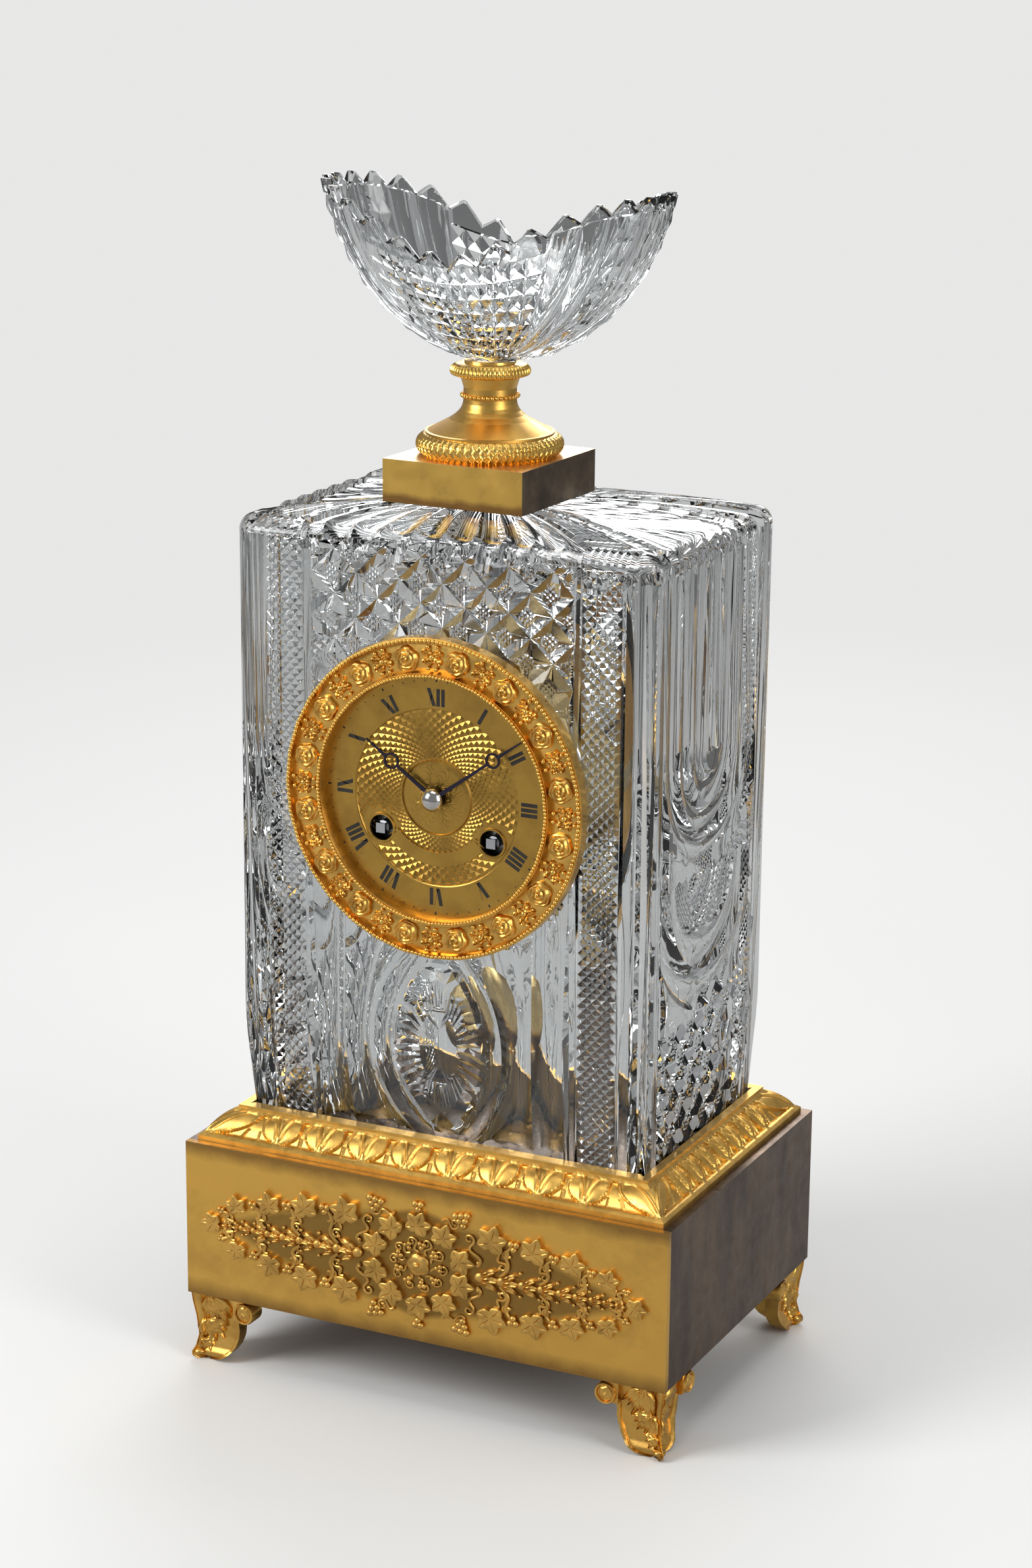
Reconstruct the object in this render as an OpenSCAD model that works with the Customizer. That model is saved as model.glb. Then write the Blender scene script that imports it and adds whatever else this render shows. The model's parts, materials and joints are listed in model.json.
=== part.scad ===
/* [Plinth] */
// Width of the gilt plinth
plinth_w = 220; // [200:1:240]
// Depth of the gilt plinth
plinth_d = 154; // [148:1:170]
// Height of the plinth walls
plinth_h = 68; // [60:1:90]
// Thickness of the plinth plates
plinth_wall = 3; // [2:0.5:5]
// Height of the wooden board in the bottom
board_h = 6; // [4:1:12]
// Height of the moulding that frames the glass
moulding_h = 13.6; // [11:0.2:18]
// Width of the leaf slope of the moulding
moulding_slope = 12.6; // [10:0.2:14]
// Set back of the moulding from the plinth edge
moulding_inset = 3.8; // [2:0.2:6]
// Height of the vine mount above the front plate
vine_relief = 3.5; // [2:0.5:5]
// Length of the vine mount
vine_w = 205; // [170:1:210]
// Height of the vine mount
vine_h = 58; // [40:1:58]

/* [Feet] */
// Height of a scroll foot
foot_h = 31; // [26:1:40]
// Length of each wing of a foot
foot_wing = 32; // [28:1:40]
// Thickness of each wing of a foot
foot_thick = 12; // [9:0.5:14]
// Radius of the scroll at the end of a wing
scroll_r = 5.5; // [4:0.5:6]
// Radius of the foot screws
screw_r = 2; // [1.5:0.25:3]

/* [Glass case] */
// Set back of the glass foot from the sides of the plinth
case_in_x = 20.3; // [19:0.1:24]
// Set back of the glass foot from the front of the plinth
case_in_y = 22; // [21:0.1:25]
// Flare of the glass to each side above its foot
flare_x = 2.7; // [1:0.1:4]
// Flare of the glass to the front above its foot
flare_y = 6.5; // [4:0.1:8]
// Height of the glass up to its top edge
case_h = 265.4; // [255:0.2:300]
// Rise of the glass top towards its middle
crown_rise = 5; // [2:0.5:8]
// Height of the inward curve above the foot
case_curve_h = 62; // [40:1:80]
// Radius of the upright corners and of the shoulder
case_corner = 7; // [5:0.5:10]
// Thickness of the glass at its foot
glass_wall = 9.5; // [7:0.5:10]
// Thickness of the glass top
glass_top = 14; // [10:0.5:18]
// Radius of the round openings in the front and the back
opening_r = 53; // [52:0.2:54]
// Depth of the mitre cuts that part the panels
mitre_depth = 1.6; // [0.8:0.2:2.4]
// Half width of the middle field of the front
front_half = 57.7; // [54:0.1:60]
// Distance from the middle to the straight flutes of the front
flute_in = 42; // [38:0.5:48]
// Half width of the ring flute that goes round the lens
ring_out = 29; // [26:0.5:32]
// Depth of the broad flutes
flute_deep = 2.4; // [1:0.1:3]
// Width of the lens cut under the dial
lens_wide = 38; // [30:1:42]
// Height of the lens
lens_high = 78; // [70:1:90]
// Height of the lens's middle over the seat
lens_up = 54; // [50:1:60]
// Height of a diamond over the dial
diamond_up = 18.2; // [16:0.2:22]
// Depth of the grooves between the diamonds
diamond_deep = 3.4; // [2:0.1:4]
// Half width of the middle field of a side
side_half = 47; // [42:0.5:48]
// Height over the seat of the diamonds at the foot of a side
swag_low = 69; // [60:1:75]
// Height over the seat of the fan's straight edge
fan_up = 127; // [120:1:135]
// Radius of the upper swag's middle line
swag_bend = 32.5; // [28:0.5:35]
// Width of a swag
swag_w = 17; // [14:0.5:18]
// Height over the seat where the side's folds turn round
fold_up = 176; // [170:1:185]
// Width of a fold
fold_w = 13; // [11:0.5:14]

/* [Dial and bezels] */
// Height of the dial centre above the plinth
dial_up = 159.6; // [155:0.2:170]
// Outer radius of the front bezel
bezel_r = 65.6; // [62:0.2:70]
// Depth of the front bezel
bezel_t = 8.4; // [6:0.2:10]
// Radius of the dial that shows
sight_r = 49.5; // [48:0.1:50]
// Thickness of the dial plate
dial_t = 1.2; // [0.8:0.1:2]
// Distance of each winding arbor to the side of the centre
wind_x = 24.6; // [24:0.1:26]
// Distance of the winding arbors below the centre
wind_down = 15.5; // [14.5:0.1:16.5]
// Radius of the winding holes
wind_hole_r = 5.3; // [4.5:0.1:6]
// Width of the winding squares
square_w = 4; // [3:0.1:4.4]
// Number of roses round the bezel
rose_count = 16; // [12:1:18]
// Outer radius of the rear bezel
rear_r = 63; // [60:0.5:66]

/* [Hands] */
// Length of the minute hand
minute_len = 48; // [40:0.5:48.5]
// Length of the hour hand
hour_len = 37; // [30:0.5:40]
// Minute hand angle from twelve
minute_at = 54; // [0:1:359]
// Hour hand angle from twelve
hour_at = 304.7; // [0:0.1:359]
// Thickness of the hands
hand_t = 0.8; // [0.5:0.1:1]
// Radius of the domed nut
nut_r = 4.75; // [4:0.05:6]

/* [Movement] */
// Module of the wheel teeth
tooth_m = 0.6; // [0.58:0.01:0.61]
// Radius of the drum that holds the movement
drum_r = 51.4; // [51.2:0.1:51.5]
// Thickness of the drum wall
drum_wall = 1; // [0.8:0.1:1.2]
// Distance from the glass front to the front plate
plate_back = 7.5; // [7:0.1:8]
// Distance between the plates
plate_gap = 30; // [30:0.5:32]
// Thickness of each plate
plate_t = 2; // [1.5:0.1:2.4]
// Radius of the back plate
plate_r = 46; // [45.6:0.1:47]
// Radius of the barrel drums
barrel_r = 16.6; // [15:0.1:16.8]
// Running clearance of arbors in their holes
run_clear = 0.05; // [0.02:0.01:0.08]
// Radius of the bell
bell_r = 30; // [26:0.5:31]
// Height of the bell
bell_h = 19; // [15:0.5:22]

/* [Pendulum] */
// Height of the swing axis above the dial centre
swing_up = 42.45; // [42.4:0.01:42.6]
// Distance from the swing axis down to the middle of the bob
bob_down = 146; // [130:1:152]
// Radius of the pendulum bob
bob_r = 17; // [12:0.5:20]
// Thickness of the pendulum bob
bob_t = 9; // [6:0.5:10]
// Radius of the pendulum rod
rod_r = 1; // [0.8:0.1:1.2]

/* [Block and stand] */
// Width of the square block
block_w = 63; // [60:0.5:70]
// Height of the square block
block_h = 17.4; // [14:0.2:22]
// Shift of the block to the side
stand_x = -6.5; // [-8:0.5:8]
// Shift of the block to the front
stand_y = -4; // [-6:0.5:6]
// Turn of the block
block_turn = -2; // [-6:0.5:6]
// Outer radius of the laurel ring
laurel_r = 29.9; // [28:0.1:31]
// Height of the laurel ring
laurel_h = 8.6; // [7:0.2:10]
// Height of the turned stand above the laurel ring
stand_h = 22.9; // [20:0.1:30]
// Radius of the waist of the stand
waist_r = 10.7; // [9:0.1:12]
// Number of beads round the waist
bead_count = 38; // [24:1:38]
// Outer radius of the fluted collar
collar_r = 16.3; // [14.5:0.1:18]
// Height of the fluted collar
collar_h = 6.4; // [5:0.1:8]
// Radius of the bolt through block and stand
bolt_r = 3; // [2:0.25:3.5]

/* [Glass bowl] */
// Half length of the bowl
bowl_a = 80.6; // [70:0.2:86]
// Half width of the bowl
bowl_b = 46.4; // [38:0.2:50]
// Depth of the full ellipsoid that the bowl is cut from
bowl_c = 91; // [76:0.5:100]
// Height of the rim at the middle of the long sides above the bowl bottom
rim_low = 46.2; // [42:0.2:52]
// Height of the rim at the two ends above the bowl bottom
rim_high = 70.4; // [60:0.2:74]
// Number of teeth round the rim
tooth_count = 30; // [20:2:32]
// Depth of the teeth at the middle of the long sides
tooth_depth = 6.6; // [4:0.2:9]
// Turn of the bowl against the stem
bowl_turn = -3; // [-8:0.5:8]
// Shift of the bowl's body against the stem, to the side
bowl_x = 3.4; // [-4:0.2:4]
// Shift of the bowl's body against the stem, to the front
bowl_y = -2.4; // [-3:0.2:3]
// Thickness of the bowl
bowl_wall = 5; // [4:0.5:6]

/* [Hidden] */
$fn = 48;

// Colours
gilt = "goldenrod";
patina = "dimgray";
glass = [0.8, 0.88, 0.9, 0.4];
brass = "darkkhaki";
steel = "slategray";

// Heights of the main seats
z_plinth = foot_h;
z_seat = foot_h + plinth_h;
z_edge = z_seat + case_h;
z_block = z_edge + crown_rise;
z_stand = z_block + block_h;
z_foot_top = z_stand + laurel_h;
z_collar = z_foot_top + stand_h;
z_bowl = z_collar + collar_h;
z_dial = z_seat + dial_up;

// The plinth stands this far back, so that the whole outline is centred on the origin
case_y = vine_relief / 2;
// Flat faces of different pieces that must not press on each other stay this far apart
soft_gap = 0.3;
// A loose fit of a piece in the recess that holds it
seat_clear = 0.1;
// Half sizes of the glass case
foot_hw = plinth_w / 2 - case_in_x;
top_hw = foot_hw + flare_x;
foot_hd = plinth_d / 2 - case_in_y;
top_hd = foot_hd + flare_y;
// Half sizes of the hollow inside the glass
hollow_hw = foot_hw - glass_wall;
hollow_hd = foot_hd - glass_wall + 0.5;
hollow_top = z_edge - glass_top;
// Half sizes of the moulding frame
frame_hw = plinth_w / 2 - moulding_inset;
frame_hd = plinth_d / 2 - moulding_inset;
mitre_reach = 24;

// Depths in front of the case middle, measured towards the viewer
face_z = top_hd;
dial_z = face_z + 0.3;
plate_z = face_z - plate_back - plate_t;
back_z = plate_z - plate_gap - plate_t;
great_z = plate_z - 3.5;
drum_z = plate_z - 16;
second_z = plate_z - 19;
centre_z = plate_z - 22.2;
third_z = plate_z - 26;
escape_z = plate_z - 28.8;
motion_z = plate_z + plate_t + 1.2;
rod_z = back_z - 8;
bell_z = back_z - 16;
arbor_r = 0.8;
wheel_t = 1.2;
pinion_t = 2.4;
wind_r = 3;
spigot_r = opening_r - 0.3;

// Tooth counts
n_great = 60;
n_second_pinion = 10;
n_intermediate = 44;
n_centre_pinion = 12;
n_centre = 48;
n_third_pinion = 8;
n_third = 42;
n_escape_pinion = 7;
n_escape = 20;
n_strike_second = 36;
n_pin_pinion = 8;
n_pin_wheel = 28;
n_fly_pinion = 7;
n_cannon = 12;
n_minute = 36;
n_minute_pinion = 10;
n_hour = 40;
n_ratchet = 24;

// Distances between meshed wheels
function mesh_gap(n1, n2, m) = (n1 + n2) * m / 2;
function away(p, a, d) = [p[0] + d * cos(a), p[1] + d * sin(a)];
function bearing(p, q) = atan2(q[1] - p[1], q[0] - p[0]);

// Places of the arbors, seen from the front, with the centre arbor at the origin
centre_at = [0, 0];
going_at = [wind_x, -wind_down];
strike_at = [-wind_x, -wind_down];
wind_gap = norm(going_at);
inter_gap = mesh_gap(n_intermediate, n_centre_pinion, tooth_m);
great_gap = mesh_gap(n_great, n_second_pinion, tooth_m);
inter_turn = acos((inter_gap ^ 2 + wind_gap ^ 2 - great_gap ^ 2) / (2 * inter_gap * wind_gap));
inter_at = away(centre_at, bearing(centre_at, going_at) + inter_turn, inter_gap);
third_at = away(centre_at, 100, mesh_gap(n_centre, n_third_pinion, tooth_m));
escape_gap = mesh_gap(n_third, n_escape_pinion, tooth_m);
escape_at = [0, third_at[1] + sqrt(escape_gap ^ 2 - third_at[0] ^ 2)];
swing_at = [0, swing_up];
second_at = away(strike_at, 80, great_gap);
pin_at = away(second_at, 90, mesh_gap(n_strike_second, n_pin_pinion, tooth_m));
fly_at = away(pin_at, 150, mesh_gap(n_pin_wheel, n_fly_pinion, tooth_m));
motion_gap = mesh_gap(n_cannon, n_minute, tooth_m);
hour_m = 2 * motion_gap / (n_minute_pinion + n_hour);
minute_wheel_at = [0, -motion_gap];
hammer_at = [-36, 6];
bell_at = [16, -14];
head_r = 3.5;
head_at = away(bell_at, 195, bell_r + head_r + 0.5);
pillar_angles = [20, 60, 120, 160, 270];
pillar_ring = 42;
// Arbors that turn in both plates
pivots = [inter_at, third_at, escape_at, second_at, pin_at, fly_at];

// Angle at which a wheel must stand to mesh with its neighbour at rest
function mate(p1, n1, n2, th) = th + 180 - (180 - (th - p1) * n1) / n2;
turn_centre = 0;
turn_inter = mate(turn_centre, n_centre_pinion, n_intermediate, bearing(centre_at, inter_at));
turn_going = mate(turn_inter, n_second_pinion, n_great, bearing(inter_at, going_at));
turn_third = mate(turn_centre, n_centre, n_third_pinion, bearing(centre_at, third_at));
turn_escape = mate(turn_third, n_third, n_escape_pinion, bearing(third_at, escape_at));
turn_second = mate(0, n_great, n_second_pinion, bearing(strike_at, second_at));
turn_pin = mate(turn_second, n_strike_second, n_pin_pinion, bearing(second_at, pin_at));
turn_fly = mate(turn_pin, n_pin_wheel, n_fly_pinion, bearing(pin_at, fly_at));
turn_minute = mate(turn_centre, n_cannon, n_minute, -90);
turn_hour = mate(turn_minute, n_minute_pinion, n_hour, 90);

// Flat sided teeth with room to run
function tooth_ring(n, m, turn) = [
  for (k = [0:n - 1]) let (r = n * m / 2, p = 360 / n, a = turn + k * p)
    each [[r - 0.8 * m, a - 0.3 * p], [r, a - 0.205 * p], [r + 0.55 * m, a - 0.08 * p],
          [r + 0.55 * m, a + 0.08 * p], [r, a + 0.205 * p], [r - 0.8 * m, a + 0.3 * p]]];
function polar(q) = [q[0] * cos(q[1]), q[0] * sin(q[1])];

module placed() {
  translate([0, case_y, 0]) children();
}

// Looks from the front: x to the right, y up and z towards the viewer, from the dial centre
module clockwork() {
  translate([0, case_y, z_dial]) rotate([90, 0, 0]) children();
}

module at(p, z = 0) {
  translate([p[0], p[1], z]) children();
}

module wheel(n, m, turn, t, bore) {
  linear_extrude(t) difference() {
    polygon([for (q = tooth_ring(n, m, turn)) polar(q)]);
    circle(r = (bore + run_clear) / cos(15), $fn = 12);
  }
}

// A round rod with smaller pivots at both ends
module arbor(z0, z1, r = arbor_r) {
  translate([0, 0, z0]) cylinder(r = r, h = z1 - z0);
}

module plinth_front() {
  color(gilt) placed()
    translate([-plinth_w / 2, -plinth_d / 2, z_plinth]) cube([plinth_w, plinth_wall, plinth_h]);
}

module plinth_back() {
  color(patina) placed() mirror([0, 1, 0])
    translate([-plinth_w / 2, -plinth_d / 2, z_plinth]) cube([plinth_w, plinth_wall, plinth_h]);
}

module plinth_side() {
  translate([-plinth_w / 2, -plinth_d / 2 + plinth_wall, z_plinth])
    cube([plinth_wall, plinth_d - 2 * plinth_wall, plinth_h]);
}

module plinth_left() {
  color(patina) placed() plinth_side();
}

module plinth_right() {
  color(patina) placed() mirror([1, 0, 0]) plinth_side();
}

module inner_slab(z, t) {
  w = plinth_w - 2 * plinth_wall;
  d = plinth_d - 2 * plinth_wall;
  translate([-w / 2, -d / 2, z]) cube([w, d, t]);
}

module plinth_top() {
  color(gilt) placed() inner_slab(z_seat - plinth_wall, plinth_wall);
}

// Middle of the screw in each foot, from the corner of the plinth
screw_in = foot_thick / 2 + 1;

module at_foot_screws() {
  for (x = [-1, 1]) for (y = [-1, 1])
    translate([x * (plinth_w / 2 - screw_in), y * (plinth_d / 2 - screw_in), 0]) children();
}

module bottom_board() {
  color("saddlebrown") placed() difference() {
    inner_slab(z_plinth, board_h);
    at_foot_screws() translate([0, 0, z_plinth - 1]) cylinder(r = screw_r + seat_clear, h = board_h + 2);
  }
}

// Section of the moulding: x outwards from the lip and y up from the plinth
function moulding_section(ledge) = concat(
  [[-ledge, 0], [moulding_slope, 0], [moulding_slope, 2.2], [moulding_slope - 1.2, 3.2]],
  [for (k = [0:5]) let (s = k / 5)
    [(moulding_slope - 2) * (1 - s) + 1.2 * s, 3.4 + (moulding_h - 5.6) * (s + 0.18 * sin(180 * s))]],
  [[0, moulding_h - 1.6], [0, moulding_h], [-ledge, moulding_h]]);

module moulding_bar(half_len, half_out, ledge) {
  intersection() {
    translate([-half_len, -half_out + moulding_slope, z_seat]) rotate([90, 0, 90])
      linear_extrude(2 * half_len) mirror([1, 0]) polygon(moulding_section(ledge));
    translate([0, 0, z_seat - 1]) linear_extrude(moulding_h + 2)
      polygon([[-half_len, -half_out], [half_len, -half_out],
               [half_len - mitre_reach, -half_out + mitre_reach],
               [-half_len + mitre_reach, -half_out + mitre_reach]]);
  }
}

ledge_d = frame_hd - moulding_slope - foot_hd - 0.5;
ledge_w = frame_hw - moulding_slope - foot_hw - 0.5;

module moulding_frame() {
  color(gilt) placed() for (s = [0, 1]) {
    mirror([0, s, 0]) moulding_bar(frame_hw, frame_hd, ledge_d);
    rotate([0, 0, s == 0 ? -90 : 90]) moulding_bar(frame_hd, frame_hw, ledge_w);
  }
}

// A vine leaf of three lobes
module leaf(r, t) {
  linear_extrude(t) {
    circle(r = r * 0.62, $fn = 24);
    for (a = [90, 200, 340]) translate([r * 0.5 * cos(a), r * 0.5 * sin(a)]) circle(r = r * 0.45, $fn = 24);
  }
}

module vine_mount() {
  vine_z = z_plinth + plinth_h / 2;
  hw = vine_w / 2;
  hh = vine_h / 2;
  color(gilt) placed() translate([0, -plinth_d / 2, vine_z]) rotate([90, 0, 0]) {
    linear_extrude(vine_relief * 0.35) polygon([for (q = [[-1, 0], [-0.34, -0.74], [0, -0.94], [0.34, -0.74], [1, 0],
      [0.34, 0.74], [0, 0.94], [-0.34, 0.74]]) [q[0] * hw, q[1] * hh]]);
    cylinder(r = hh * 0.36, h = vine_relief);
    for (s = [-1, 1]) {
      for (k = [0:5]) translate([s * (hh * 0.5 + k * (hw - hh * 0.5) / 6), 0, 0])
        cylinder(r = hh * (0.22 - 0.02 * k), h = vine_relief * (0.95 - 0.05 * k));
      for (v = [-1, 1]) for (k = [0:4]) let (u = (k + 0.4) / 5.4)
        translate([s * hw * u, v * (hh - 6) * (1 - u * 0.92), 0]) leaf(8.5 - 4 * u, vine_relief * 0.8);
    }
  }
}

// Outline of one wing of a foot as shares of its length and height, from the corner and from the ground
wing_shape = concat(
  [[0.02, 1], [0.01, 0.84], [0.03, 0.6], [0.07, 0.36], [0.07, 0.24], [0.03, 0.16], [0.05, 0.09], [0.11, 0.03], [0.18, 0]],
  [[0.4, 0], [0.52, 0.05], [0.62, 0.16], [0.69, 0.32], [0.71, 0.5], [0.7, 0.6], [0.94, 0.7], [0.94, 1]]);

module foot_wing_solid() {
  rotate([90, 0, 0]) translate([0, 0, -foot_thick]) linear_extrude(foot_thick - 1)
    polygon([for (q = wing_shape) [q[0] * foot_wing, q[1] * foot_h]]);
  translate([foot_wing - scroll_r, foot_thick, foot_h - scroll_r - 1.2]) rotate([90, 0, 0])
    cylinder(r = scroll_r, h = foot_thick - 1);
}

// A foot under the front left corner, with the corner at the origin
module foot_solid() {
  difference() {
    union() {
      foot_wing_solid();
      mirror([1, -1, 0]) foot_wing_solid();
    }
    translate([screw_in, screw_in, foot_h - 14]) cylinder(r = screw_r + seat_clear, h = 20);
  }
}

module foot_at(x, y) {
  color(gilt) placed() mirror([x > 0 ? 1 : 0, 0, 0]) mirror([0, y > 0 ? 1 : 0, 0])
    translate([-plinth_w / 2, -plinth_d / 2, 0]) foot_solid();
}

module foot_front_left() {
  foot_at(-1, -1);
}

module foot_front_right() {
  foot_at(1, -1);
}

module foot_back_left() {
  foot_at(-1, 1);
}

module foot_back_right() {
  foot_at(1, 1);
}

module foot_screws() {
  color(steel) placed() at_foot_screws() {
    translate([0, 0, z_plinth + board_h]) cylinder(r = screw_r * 1.9, h = 2.4);
    translate([0, 0, z_plinth - 12]) cylinder(r = screw_r, h = 12 + board_h + 0.5);
  }
}

// Outline of the right half of the glass: upright behind the moulding, then a flare up to the shoulder
function side_at(s, foot, top) = top - (top - foot) * pow(1 - s, 2);
function right_edge(foot, top) = concat(
  [[foot, z_seat]],
  [for (k = [0:8]) [side_at(k / 8, foot, top), z_seat + moulding_h + (case_curve_h - moulding_h) * k / 8]],
  [for (a = [0:15:75]) [top - case_corner + case_corner * cos(a), z_edge - case_corner + case_corner * sin(a)]],
  [for (k = [0:3]) let (s = k / 3)
    [(top - case_corner) * (1 - s) + (block_w / 2 - 4) * s, z_edge + crown_rise * (1 - pow(1 - s, 2))]]);
function flip(pts) = [for (k = [len(pts) - 1:-1:0]) [-pts[k][0], pts[k][1]]];

module glass_plan(hw, hd, r) {
  for (x = [-1, 1]) for (y = [-1, 1]) translate([x * (hw - r), y * (hd - r)]) circle(r = r);
  square([2 * hw, 2 * (hd - r)], center = true);
  square([2 * (hw - r), 2 * hd], center = true);
}

module mitre_cut(x, hd, h) {
  translate([x, -hd, h / 2]) rotate([0, 0, 45]) cube([mitre_depth * 1.4, mitre_depth * 1.4, h], center = true);
}

// Cutters that lie on the plane z = 0, with the glass below it, x across the panel and y up from the seat
module flute_cut(x, width, depth, low, high) {
  r = (width * width / 4 + depth * depth) / (2 * depth);
  translate([x, low, r - depth]) rotate([-90, 0, 0]) cylinder(r = r, h = high - low);
}

module arc_cut(bend, width, depth, start, sweep) {
  r = (width * width / 4 + depth * depth) / (2 * depth);
  translate([0, 0, r - depth]) rotate([0, 0, start]) rotate_extrude(angle = sweep) translate([bend, 0]) circle(r = r);
}

// Crossed grooves that leave diamonds, pitch_x wide and pitch_y high, between two heights
module diamond_cuts(pitch_x, pitch_y, depth, half, low, high) {
  mid = (low + high) / 2;
  first = -half / pitch_x + low / pitch_y;
  last = half / pitch_x + high / pitch_y;
  intersection() {
    for (s = [-1, 1]) for (k = [floor(first):ceil(last)]) let (x = pitch_x * (k + 0.5 - mid / pitch_y))
      if (abs(x) < half + (high - low) / 2 * pitch_x / pitch_y)
        translate([s * x, mid, 0]) rotate([0, 0, -s * atan2(pitch_y, pitch_x)]) rotate([45, 0, 0])
          cube([2 * (high - low) + 4 * half, depth * sqrt(2), depth * sqrt(2)], center = true);
    translate([-half, low, -2 * depth]) cube([2 * half, high - low, 4 * depth]);
  }
}

module front_cuts() {
  lens_bend = (pow(lens_high / 2, 2) + pow(lens_wide / 2, 2)) / lens_wide;
  difference() {
    union() {
      for (s = [-1, 1]) {
        flute_cut(s * (front_half + flute_in) / 2, front_half - flute_in, flute_deep, -1, dial_up);
        flute_cut(s * (flute_in + ring_out) / 2, flute_in - ring_out, flute_deep, -1, dial_up);
        translate([s * (lens_wide / 2 - lens_bend), lens_up, 0]) mirror([s > 0 ? 0 : 1, 0, 0])
          arc_cut(lens_bend + (ring_out - lens_wide / 2) / 2, ring_out - lens_wide / 2, flute_deep - 0.2, -48, 96);
      }
      diamond_cuts(front_half / 3, diamond_up, diamond_deep, front_half, dial_up, case_h - 7);
    }
    translate([0, dial_up, -20]) cylinder(r = bezel_r - 1, h = 40);
  }
}

module side_cuts() {
  diamond_cuts(side_half / 2.5, 22, diamond_deep - 0.4, side_half, 4, swag_low);
  intersection() {
    union() {
      for (r = [swag_bend, swag_bend + swag_w]) translate([0, fan_up, 0]) arc_cut(r, swag_w, flute_deep, 180, 180);
      for (k = [0:2]) let (r = side_half - (k + 0.5) * fold_w) translate([0, fold_up, 0]) {
        arc_cut(r, fold_w, flute_deep, 180, 180);
        for (s = [-1, 1]) flute_cut(s * r, fold_w, flute_deep, 0, case_h);
      }
      flute_cut(0, 2 * (side_half - 3 * fold_w), flute_deep - 0.4, fold_up, case_h + 9);
    }
    translate([-side_half, swag_low, -10]) cube([2 * side_half, case_h - 4 - swag_low, 40]);
  }
}

module crystal_case() {
  front = right_edge(foot_hw, top_hw);
  side = right_edge(foot_hd, top_hd);
  tall = z_block - z_seat + 2;
  color(glass) placed() difference() {
    intersection() {
      translate([0, 0, z_seat]) linear_extrude(tall) glass_plan(top_hw, top_hd, case_corner);
      translate([0, 2 * top_hd, 0]) rotate([90, 0, 0]) linear_extrude(4 * top_hd) polygon(concat(front, flip(front)));
      translate([-2 * top_hw, 0, 0]) rotate([90, 0, 90]) linear_extrude(4 * top_hw) polygon(concat(side, flip(side)));
    }
    translate([-hollow_hw, -hollow_hd, z_seat - 1]) cube([2 * hollow_hw, 2 * hollow_hd, hollow_top - z_seat + 1]);
    translate([0, -2 * top_hd, z_dial]) rotate([-90, 0, 0]) cylinder(r = opening_r, h = 4 * top_hd);
    translate([stand_x, stand_y, hollow_top - 1]) cylinder(r = bolt_r + 1.2, h = glass_top + crown_rise + 3);
    translate([0, 0, z_seat + case_curve_h]) for (y = [0, 1]) mirror([0, y, 0]) for (x = [-1, 1]) {
      mitre_cut(x * 68, top_hd, case_h - case_curve_h - 14);
      mitre_cut(x * 86, top_hd, case_h - case_curve_h - 14);
    }
    translate([0, 0, z_seat]) for (s = [0, 1]) {
      mirror([0, s, 0]) translate([0, -top_hd, 0]) rotate([90, 0, 0]) front_cuts();
      mirror([s, 0, 0]) translate([top_hw, 0, 0]) rotate([90, 0, 90]) side_cuts();
    }
  }
}

// Section of the front bezel: x outwards from the centre and y towards the viewer
function bezel_section() = let (f = face_z, t = bezel_t, w = bezel_r - sight_r) concat(
  [[sight_r, dial_z + dial_t], [drum_r + 0.2, dial_z + dial_t], [drum_r + 0.2, f - 6.5],
   [spigot_r, f - 6.5], [spigot_r, f], [bezel_r, f], [bezel_r, f + t - 2.6], [bezel_r - 1.8, f + t - 1.4]],
  [for (k = [0:8]) let (s = k / 8) [bezel_r - 2.2 - (w - 5) * s, f + t - 1.8 + 1.2 * sin(180 * s)]],
  [[sight_r + 2.2, f + t - 0.6], [sight_r + 0.9, f + t - 0.6], [sight_r, f + t - 3]]);

module front_bezel() {
  mid = (bezel_r + sight_r) / 2;
  color(gilt) clockwork() {
    rotate_extrude($fn = 96) polygon(bezel_section());
    for (k = [0:rose_count - 1]) rotate([0, 0, (k + 0.5) * 360 / rose_count]) intersection() {
      translate([mid, 0, face_z + bezel_t - 5]) sphere(r = 5.4);
      translate([mid, 0, face_z + bezel_t / 2]) cylinder(r = 4.2, h = bezel_t);
    }
  }
}

module dial_plate() {
  color(gilt) clockwork() {
    difference() {
      translate([0, 0, dial_z]) cylinder(r = drum_r - 0.1, h = dial_t, $fn = 96);
      translate([0, 0, dial_z - 1]) cylinder(r = 3.7, h = dial_t + 2);
      for (p = [going_at, strike_at]) at(p, dial_z - 1) cylinder(r = wind_hole_r, h = dial_t + 2);
    }
    for (a = [30, 150, 250]) rotate([0, 0, a])
      translate([43, 0, plate_z + plate_t]) cylinder(r = 1.4, h = dial_z - plate_z - plate_t);
  }
}

// Depths of the hands in front of the dial
hour_hand_z = dial_z + dial_t + 1.2;
minute_hand_z = hour_hand_z + hand_t + 1.1;
cannon_r = 2.2;
pipe_r = cannon_r + run_clear;

// A ring hand that points up: hub, tapered blade, open ring and fine tip
module ring_hand(len, ring_at, ring_out, hub_r, bore) {
  linear_extrude(hand_t) difference() {
    union() {
      circle(r = hub_r);
      polygon([[-0.9, 0], [-0.5, ring_at], [0.5, ring_at], [0.9, 0]]);
      polygon([[-0.8, ring_at], [-0.25, len], [0.25, len], [0.8, ring_at]]);
      translate([0, ring_at]) circle(r = ring_out);
    }
    translate([0, ring_at]) circle(r = ring_out - 0.9);
    circle(r = bore);
  }
}

module hour_hand() {
  color(steel) clockwork() translate([0, 0, hour_hand_z]) rotate([0, 0, -hour_at])
    ring_hand(hour_len, 23.3, 3.4, 4.2, pipe_r + 0.9);
}

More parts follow.
